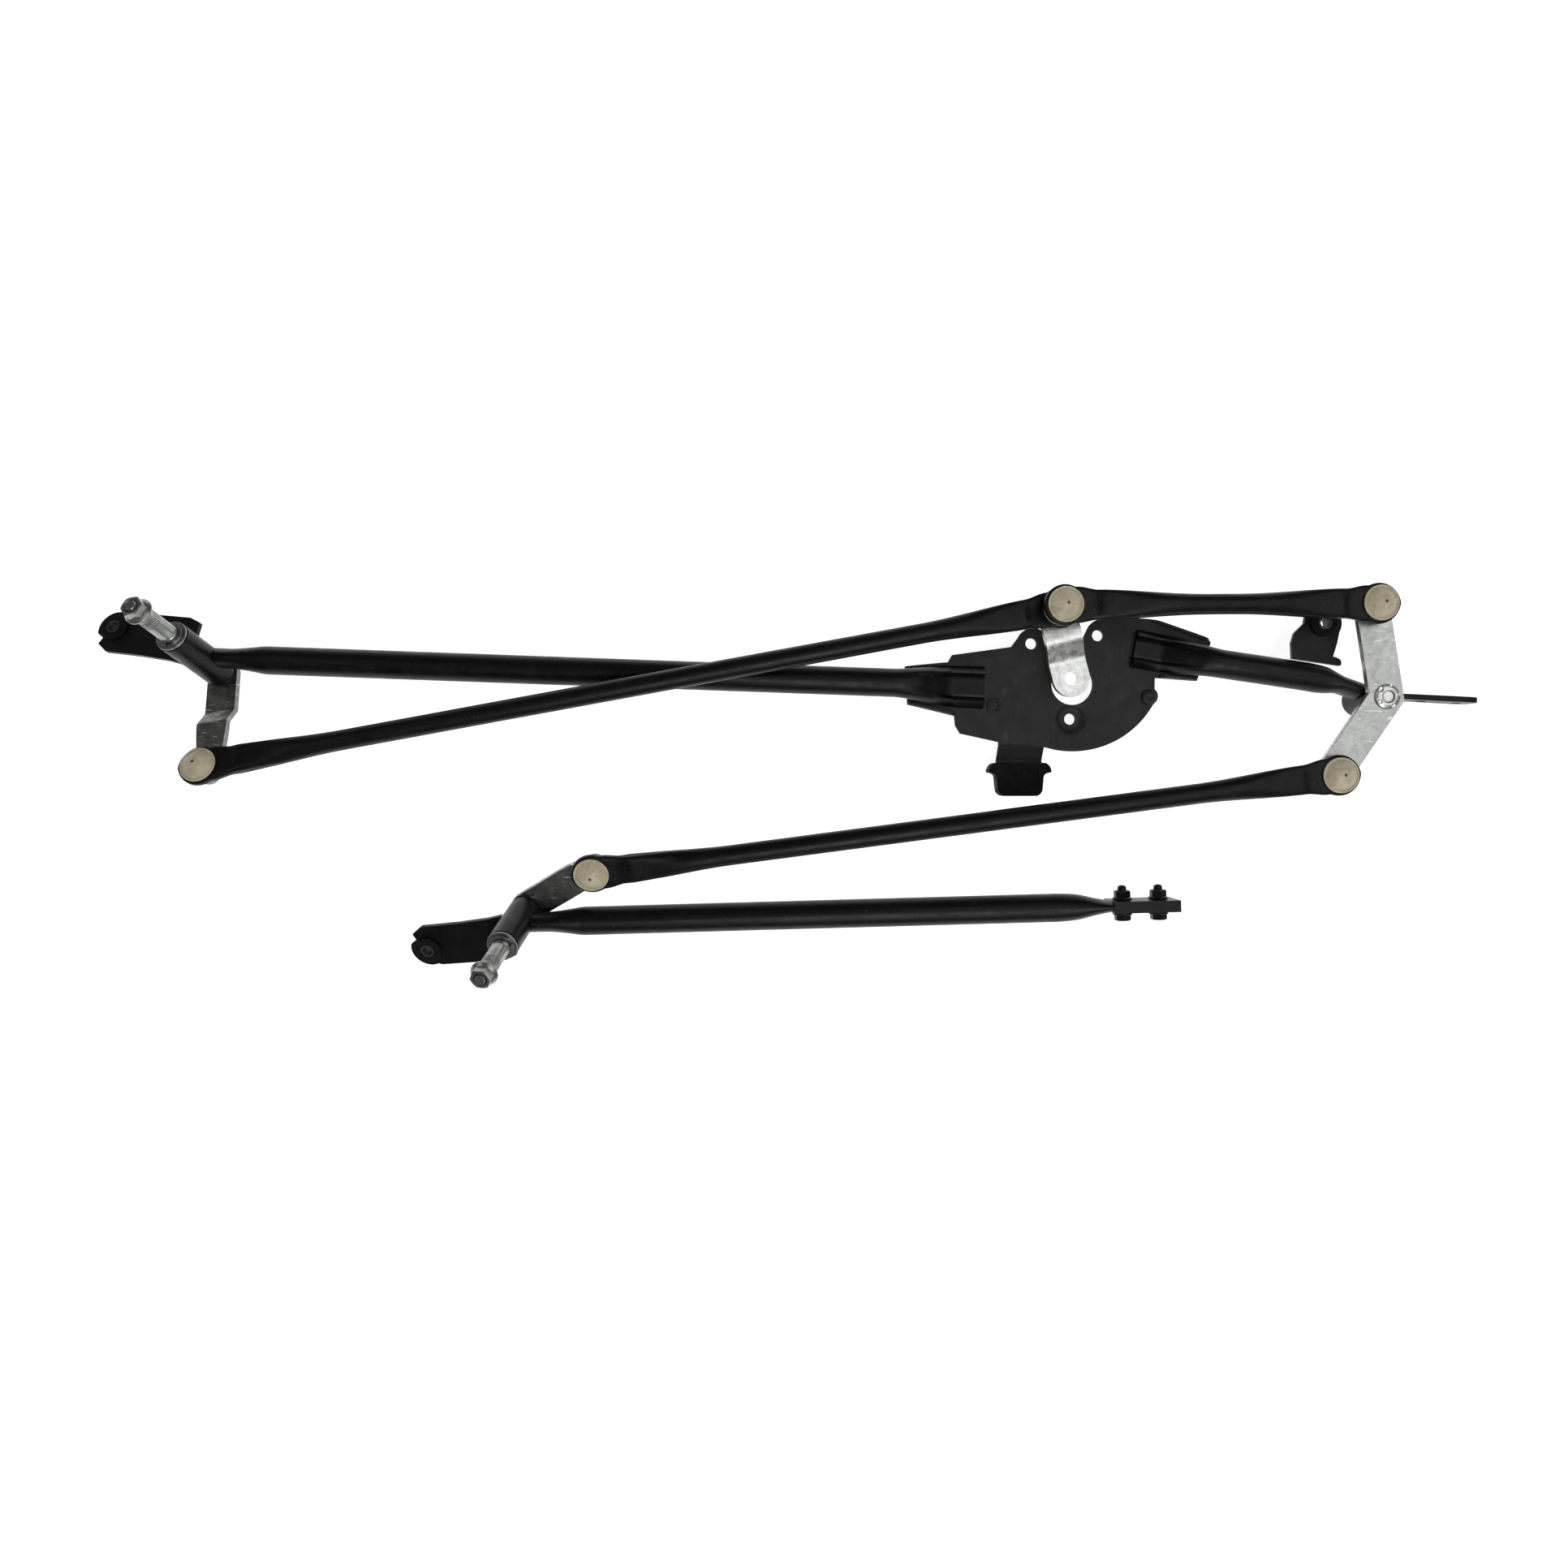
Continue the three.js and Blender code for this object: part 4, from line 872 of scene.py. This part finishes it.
def add_foot():
    x0, x1, bend, end, drop = (FOOT_TAB[k] for k in ("x0", "x1", "bend", "end", "drop"))
    middle = (x0 + x1) / 2
    half = [(19, bend - 2), (21.6, bend - 4.6), (23, bend - 9), (19.4, bend - 9.4), (17, bend - 11),
            (16, end - 1), (13, end - 4)]
    outline = softened([(middle + x, y) for x, y in half] + [(middle - x, y) for x, y in reversed(half)], 2.0)
    low = -drop - PLATE_THICK - 5
    foot = slab(outline, low, -drop + 5)
    slot = block(x0 - GAP, x1 + GAP, end - GAP, bend + 5, -drop - PLATE_THICK - GAP, -drop + GAP)
    # A raised panel edge on the upper face, as the moulded block has.
    panel = block(middle - 12.5, middle + 12.5, end - 1.5, bend - 7, -drop + 4.5, -drop + 7)
    finish(cut(foot, slot, panel), "plate_foot", "rubber", bevel=0.9, segments=3)


# ---------------------------------------------------------------- frame tubes


def crushed_height(u):
    """The top of the crushed tube over its sole, from one side (-1) to the other (1)."""
    across = abs(u)
    ridge = 5.6 * math.exp(-((across - 0.68) / 0.17) ** 2)
    plateau = 2.0 * smooth((0.52 - across) / 0.16)
    return 2.1 + ridge + plateau - 1.6 * smooth((across - 0.86) / 0.14)


def tube_section(wide, high, crush, angle):
    """A point of the tube's outline, from its ellipse at crush 0 to the crushed shape at 1."""
    side = wide * math.cos(angle)
    up = high * math.sin(angle)
    flat = -TUBE_RADIUS
    if math.sin(angle) >= 0:
        flat += crushed_height(math.cos(angle)) if math.sin(angle) > 0.02 else 1.2
    return side, up * (1 - crush) + flat * crush


def through(t, before, a, b, after):
    """A curve through a and b whose slopes follow their neighbours, never outside a and b."""
    square = before - 2.5 * a + 2 * b - after / 2
    cube = 1.5 * (a - b) + (after - before) / 2
    value = a + t * ((b - before) / 2 + t * (square + t * cube))
    return min(max(value, min(a, b)), max(a, b))


def frame_tube(keys, axis_z, spacing=2.0, sides=64):
    """A tube through key stations: x, y, half width, half height and how far it is crushed."""
    rings = []
    ways = [math.atan2(b[1] - a[1], b[0] - a[0]) for a, b in zip(keys, keys[1:])]
    for i, (a, b) in enumerate(zip(keys, keys[1:])):
        span = math.hypot(b[0] - a[0], b[1] - a[1])
        straight = a[2:] == b[2:]
        steps = 2 if straight else max(3, round(span / spacing))
        before = ways[max(i - 1, 0)]
        after = ways[min(i + 1, len(ways) - 1)]
        for s in range(steps + (i == len(keys) - 2)):
            t = s / steps
            x, y = a[0] + (b[0] - a[0]) * t, a[1] + (b[1] - a[1]) * t
            wide, high, crush = (through(t, *values) for values in zip(
                keys[max(i - 1, 0)][2:], a[2:], b[2:], keys[min(i + 2, len(keys) - 1)][2:]))
            heading = ((before + ways[i]) / 2 * (1 - t) + (after + ways[i]) / 2 * t)
            across = Vector((-math.sin(heading), math.cos(heading), 0))
            loop = []
            for k in range(sides):
                side, up = tube_section(wide, high, crush, 2 * math.pi * k / sides)
                loop.append(Vector((x, y, axis_z + up)) + across * side)
            rings.append(loop)
    return loft(rings)


def barrel_cutter(pivot, axis):
    placing = frame_at(pivot, axis, pivot + Vector((1, 0, 0)))
    return moved(disc(BARREL_RADIUS + GAP, -40, 60), placing)


def add_left_tube():
    r = TUBE_RADIUS
    tube = frame_tube([
        (-608, 14.8, 7, 12, 0), (-590, 14.0, 7, 12, 0), (-578, 13.4, 8.4, 11.2, 0), (-566, 12.8, r, r, 0),
        (-124, -3.0, r, r, 0), (-108, -3.7, 11.5, 9.5, 0.15), (-94, -4.3, 13.4, 9, 0.6),
        (-82, -4.8, 14.6, 9, 1), (-59.5, -5.6, 15, 9, 1),
    ], TUBE_AXIS_Z)
    finish(cut(tube, barrel_cutter(LEFT_PIVOT, LEFT_AXIS)), "frame_tube_left", "black_paint", bevel=0)


def add_right_tube():
    r = TUBE_RADIUS
    tube = frame_tube([
        (47.5, 22.4, 13.5, 9, 1), (66, 19, 13.2, 9, 1), (80, 15.9, 12.3, 9, 0.6), (92, 13.2, 11, 9.5, 0.15),
        (106, 10.4, r, r, 0), (166, 1.4, r, r, 0), (178, -1, 9.4, r, 0), (190, -4.6, 6.2, 11, 0),
        (212, -12.5, 6.2, 11, 0),
    ], TUBE_AXIS_Z)
    clear = shift(disc(BELL["radius"] + 1.5 + GAP, -30, 40), BELLCRANK_AXIS.x, BELLCRANK_AXIS.y, 0)
    finish(cut(tube, clear), "frame_tube_right", "black_paint", bevel=0)


def splice_place(obj):
    return shift(turn(obj, SPLICE_HEADING, "Z"), *SPLICE_END)


def add_second_tube():
    r = TUBE_RADIUS
    half_thick, half_height = SOCKET["half_thick"], SOCKET["half_height"]
    tube = frame_tube([
        (-388, -171.6, 7, 12, 0), (-366, -171.2, 7, 12, 0), (-354, -170.9, 8.4, 11.2, 0),
        (-342, -170.6, r, r, 0), (-11, -161.4, r, r, 0), (4, -160.9, 9, 10.8, 0), (20, -160.4, 5.4, 12, 0),
        (28.5, -160.1, half_thick, half_height, 0), (40, -159.8, half_thick, half_height, 0),
    ], SECOND_TUBE_Z)
    depth = SOCKET["depth"]
    socket = splice_place(block(-depth, 0, -half_thick, half_thick, -half_height, half_height))
    slot_thick, slot_height = SOCKET["slot"], SOCKET["slot_height"]
    slot = splice_place(block(-depth + 2, 5, -slot_thick, slot_thick, -slot_height, slot_height))
    holes = [splice_place(shift(turn(disc(BLADE["hole"], -20, 20, 40), math.pi / 2, "X"), x, 0, 0))
             for x in SPLICE_BOLTS]
    cut(join(tube, socket), slot, *holes, barrel_cutter(SECOND_PIVOT, SECOND_AXIS))
    finish(tube, "frame_tube_second", "black_paint", bevel=0)


def add_splice_fasteners():
    shank = SPLICE_SHANK
    face = SOCKET["half_thick"] + GAP
    for label, x in zip(("inner", "outer"), SPLICE_BOLTS):
        flange = [(0, -face - 2), (6.3, -face - 2), (6.6, -face - 1.6), (6.6, -face - 0.6), (6.2, -face)]
        tip = [(shank, face + 8.4), (2.6, face + 9.2), (2, face + 9.8), (0, face + 10.2)]
        bolt = join(turned([*flange, (shank, -face), *tip]),
                    turn(hexagon(SPLICE_HEX, face + 1, face + 6), math.pi, "X"))
        for i in range(3):
            level = face + 6.9 + i * 0.45
            cut(bolt, turned([(2.72, level), (3.3, level - 0.15), (3.3, level + 0.15)], 32, closed=True))
        seat = turned([(0, face), (6.4, face), (6.6, face + 0.3), (6.6, face + 1.1), (5.6, face + 1.8),
                       (0, face + 1.8)])
        nut = cut(join(seat, hexagon(SPLICE_HEX, face + 0.6, face + 6.4)),
                  disc(shank + GAP, face - 1, face + 9))
        for node, piece in (("splice_bolt_" + label, bolt), ("splice_nut_" + label, nut)):
            splice_place(shift(turn(piece, -math.pi / 2, "X"), x, 0, 0))
            finish(piece, node, "black_paint", bevel=0.25)


def add_splice_blade():
    start = BELLCRANK_AXIS.x + BELL["radius"] + 2
    end, half = BLADE["end"], BLADE["half_height"]
    outline = [(start, -half + 4)] + arc(end - 6, -half + 6, 6, -math.pi / 2, 0, 10)
    outline += arc(end - 6, half - 6, 6, 0, math.pi / 2, 10) + [(start, half)]
    blade = shift(turn(slab(outline, 0, BLADE["thick"]), math.pi / 2, "X"), 0, BLADE["thick"] / 2, 0)
    places = [BLADE["first"] + i * BLADE["pitch"] for i in (0, 1)]
    cut(blade, *[shift(turn(disc(BLADE["hole"], -20, 20, 40), math.pi / 2, "X"), x, 0, 0) for x in places])
    shift(turn(shift(blade, -start, 0, 0), -BLADE_DROOP, "Z"), start, BLADE["y"], 0)
    finish(blade, "splice_blade", "black_paint", bevel=0.5)


# ---------------------------------------------------------------- wiper pivots


def bracket_outline():
    hole_x, hole_y, _ = BRACKET_HOLE
    top = [(-2, 25), (-10, 29.5), (-58, 37.2)]
    lobe = arc(hole_x, hole_y, 13, 1.1, 3.4, 24)
    return top + lobe + [(-74.5, 18), (-77, 13.5), (-70, 7), (-42, 2), (-20, -3), (-5, -8)]


def add_housing(prefix, pivot, axis, mirror, low):
    placing = frame_at(pivot, axis, pivot + Vector((1, 0, 0)))
    flip = placing @ Matrix.Scale(-1, 4, (0, 1, 0)) if mirror else placing
    hole_x, hole_y, hole_radius = BRACKET_HOLE
    barrel = turned([(BARREL_BORE, low), (BARREL_RADIUS, low), (BARREL_RADIUS, BARREL_TOP),
                     (BARREL_BORE, BARREL_TOP)], closed=True)
    finish(moved(barrel, placing), prefix + "_pivot_barrel", "black_paint", bevel=0.6)
    bush = ring(SPINDLE_RADIUS + GAP, BARREL_BORE - GAP, low + 0.5, BARREL_TOP - 0.4)
    finish(moved(bush, placing), prefix + "_pivot_bush", "bronze", bevel=0.2)
    high = BRACKET_HEIGHT + BRACKET_THICK
    plate = slab(bracket_outline(), BRACKET_HEIGHT, high)
    lip = shift(disc(hole_radius + 2.2, BRACKET_HEIGHT - 5, BRACKET_HEIGHT + 1), hole_x, hole_y, 0)
    rib = turn(block(-64, -9, 7.5, 10.5, BRACKET_HEIGHT - 6, BRACKET_HEIGHT + 1), -0.08, "Z")
    bore = shift(disc(hole_radius, 0, 60), hole_x, hole_y, 0)
    bracket = cut(join(plate, lip, rib), bore, disc(BARREL_RADIUS + GAP, 0, 60))
    finish(moved(bracket, flip), prefix + "_pivot_bracket", "black_paint", bevel=0.6)
    inside, outside = SLEEVE["radius"] + GAP, hole_radius - GAP
    grommet = turned([
        (inside, BRACKET_HEIGHT - 6), (outside, BRACKET_HEIGHT - 6), (outside, high + GAP),
        (hole_radius + 2, high + GAP), (hole_radius + 2, high + 1.4), (hole_radius + 1.4, high + 2),
        (inside, high + 2),
    ], closed=True)
    finish(moved(shift(grommet, hole_x, hole_y, 0), flip), prefix + "_bracket_grommet", "rubber", bevel=0.2)
    sleeve = ring(SLEEVE["bore"], SLEEVE["radius"], BRACKET_HEIGHT - 7, high + 2.6)
    finish(moved(shift(sleeve, hole_x, hole_y, 0), flip), prefix + "_bracket_sleeve", "bright_steel",
           bevel=0.2, look="dull_steel")


def spindle(base):
    low = base - LEVER_THICK / 2
    high = base + LEVER_THICK / 2
    shaft = turned([
        (0, low - 2.6), (5.8, low - 2.6), (7.2, low - 2.2), (8, low - 1.4), (8, low - GAP),
        (LEVER_SEAT, low - GAP), (LEVER_SEAT, high + GAP), (7.6, high + GAP), (7.6, high + 1.2),
        (SPINDLE_RADIUS, high + 1.8), (SPINDLE_RADIUS, BARREL_TOP + 2.6), (6.3, BARREL_TOP + 3.4),
        (6.3, BARREL_TOP + 5), (5.85, BARREL_TOP + 5.5), (5.85, BARREL_TOP + 7), (6.3, BARREL_TOP + 7.5),
        (6.3, 75.5), (6.0, 76.2), (5.1, 82), (THREAD_RADIUS, 82.6), (THREAD_RADIUS, SPINDLE_END - 1),
        (3.2, SPINDLE_END), (0, SPINDLE_END),
    ])
    # Rolled splines on the cone below the nut, and shallow drawing lines along the shaft.
    splines = [turn(block(5.7, 7.5, -0.28, 0.28, 71, 83), 2 * math.pi * i / 24, "Z") for i in range(24)]
    lines = [turn(block(6.08, 7.5, -0.16, 0.16, BARREL_TOP + 7.8, 70), 2 * math.pi * i / 5 + 0.4, "Z")
             for i in range(5)]
    return cut(shaft, *splines, *lines)


def flange_nut():
    seat = NUT_SEAT
    bore = THREAD_RADIUS + GAP
    flange = turned([
        (0, seat), (8.9, seat), (9.2, seat + 0.3), (9.2, seat + 1.2), (8.8, seat + 1.6), (7.2, seat + 2.8),
        (0, seat + 2.8),
    ])
    thread = turned([(0, seat - 1), (bore, seat - 1), (bore, seat + 7.4), (5.1, seat + 8.6), (0, seat + 8.6)])
    return cut(join(flange, hexagon(13, seat + 2, seat + 8.2)), thread)


def add_shaft(prefix, pivot, axis, ball, heights):
    """A wiper shaft with its lever; returns the height of the lever's upper face along the axis."""
    base, outer_plane = heights["base"], heights["outer"]
    placing = frame_at(pivot, axis, ball)
    offset = ball - pivot
    rise = offset.dot(axis)
    reach = math.sqrt(offset.length_squared - rise ** 2)
    low = base - LEVER_THICK / 2
    lever = strap(reach, LEVER_HALF_WIDTH, low, outer_plane - base, LEVER_THICK, LEVER_RAMP, bend=3,
                  tip=LEVER_TIP)
    cut(lever, disc(LEVER_SEAT + GAP, -40, 40), shift(disc(STUD_HOLE, -40, 40), reach, 0, 0))
    finish(moved(lever, placing), prefix + "_lever", "dark_zinc", bevel=0.5)
    finish(moved(spindle(base), placing), prefix + "_spindle", "bright_steel", bevel=0)
    plane = outer_plane - rise
    stud = shift(ball_stud(plane + LEVER_THICK / 2, plane - LEVER_THICK / 2), reach, 0, rise)
    finish(moved(stud, placing), prefix + "_ball_stud", "bright_steel", bevel=0)
    finish(moved(flange_nut(), placing), prefix + "_flange_nut", "bright_steel", bevel=0.2)
    washer = ring(SPINDLE_RADIUS + GAP, 10.6, BARREL_TOP + GAP, BARREL_TOP + 1.5)
    finish(moved(washer, placing), prefix + "_thrust_washer", "bright_steel", bevel=0.3)
    clip = ring(SPINDLE_RADIUS + GAP, 8.6, BARREL_TOP + 1.8, BARREL_TOP + 2.9)
    cut(clip, block(0, 20, -2, 2, 0, 80))
    finish(moved(clip, placing), prefix + "_circlip", "bright_steel", bevel=0.2)
    return base + LEVER_THICK / 2


# ---------------------------------------------------------------- mounting bracket on the right tube


def add_right_mount():
    x, y, radius, low = (RIGHT_MOUNT[k] for k in ("x", "y", "radius", "low"))
    high = low + BRACKET_THICK
    lip = softened([(154.4, 14.1), (190.4, 8.8), (190.4, 13.0), (186.2, 15.4)], 1.5)
    outline = lip + [(187.6, 25)] + arc(x, y, radius, -0.5, math.pi, 30) + [(157.4, 32), (155.4, 25)]
    bracket = cut(slab(outline, low, high), shift(disc(8, 0, 60), x, y, 0))
    finish(bracket, "right_mount_bracket", "black_paint", bevel=0.6)
    grommet = turned([
        (5.2, low - 4), (9.0, low - 4), (9.3, low - 3.6), (9.3, low - GAP), (7.7, low - GAP),
        (7.7, high + GAP), (9.3, high + GAP), (9.3, high + 2.4), (8.7, high + 3), (5.2, high + 3),
    ], closed=True)
    finish(shift(grommet, x, y, 0), "right_mount_grommet", "rubber", bevel=0.2)
    sleeve = ring(SLEEVE["bore"], SLEEVE["radius"], low - 4.6, high + 3.6)
    finish(shift(sleeve, x, y, 0), "right_mount_sleeve", "bright_steel", bevel=0.2, look="dull_steel")


# ---------------------------------------------------------------- the assembly

add_motor_plate()
add_foot()
add_left_tube()
add_right_tube()
add_right_mount()
add_splice_blade()
add_crank()
add_bellcrank()
add_rods()
left_top = add_shaft("left", LEFT_PIVOT, LEFT_AXIS, LEFT_BALL, LEFT_LEVER)
add_housing("left", LEFT_PIVOT, LEFT_AXIS, False, left_top + BARREL_CLEARANCE)
second_top = add_shaft("second", SECOND_PIVOT, SECOND_AXIS, SECOND_BALL, SECOND_LEVER)
add_housing("second", SECOND_PIVOT, SECOND_AXIS, True, second_top + BARREL_CLEARANCE)
add_second_tube()
add_splice_fasteners()

# ---------------------------------------------------------------- floor, light and camera


def add_floor():
    level = cad_box[0].z - FLOOR["below"]
    half = FLOOR["half"]
    corners = [(-half, -half, level), (half, -half, level), (half, half, level), (-half, half, level)]
    floor = make(corners, [(0, 1, 2, 3)])
    floor.name = "floor"
    f = Finish("floor_finish", Metallic=0.0)
    f.colour(f.ramp(f.noise(3, 3), [(0.3, (0.86, 0.86, 0.86)), (0.7, (0.88, 0.88, 0.88))]))
    f.roughness(f.spread(f.noise(8, 3), 0.9, 1.0))
    f.shader.inputs["Emission Color"].default_value = (1, 1, 1, 1)
    f.shader.inputs["Emission Strength"].default_value = FLOOR["glow"]
    floor.data.materials.append(f.material)


def add_light(name, place, target, size, power):
    data = bpy.data.lights.new(name, "AREA")
    data.shape = "DISK"
    data.size = size
    data.energy = power
    light = bpy.data.objects.new(name, data)
    light.location = place
    light.rotation_euler = (Vector(target) - Vector(place)).to_track_quat("-Z", "Y").to_euler()
    bpy.context.scene.collection.objects.link(light)


def add_studio():
    centre = (cad_box[0] + cad_box[1]) / 2
    for name, (place, size, power) in LIGHTS.items():
        add_light(name, centre + Vector(place), centre, size, power)
    world = bpy.data.worlds.new("studio")
    world.use_nodes = True
    background = world.node_tree.nodes["Background"]
    background.inputs["Color"].default_value = (1, 1, 1, 1)
    background.inputs["Strength"].default_value = SKY
    bpy.context.scene.world = world
    bpy.context.scene.view_settings.view_transform = "Standard"


def add_camera():
    data = bpy.data.cameras.new("camera")
    data.sensor_width = CAMERA["sensor"]
    data.lens = CAMERA["lens"]
    camera = bpy.data.objects.new("camera", data)
    camera.location = CAMERA["place"]
    bpy.context.scene.collection.objects.link(camera)
    bpy.context.scene.camera = camera


add_floor()
add_studio()
add_camera()
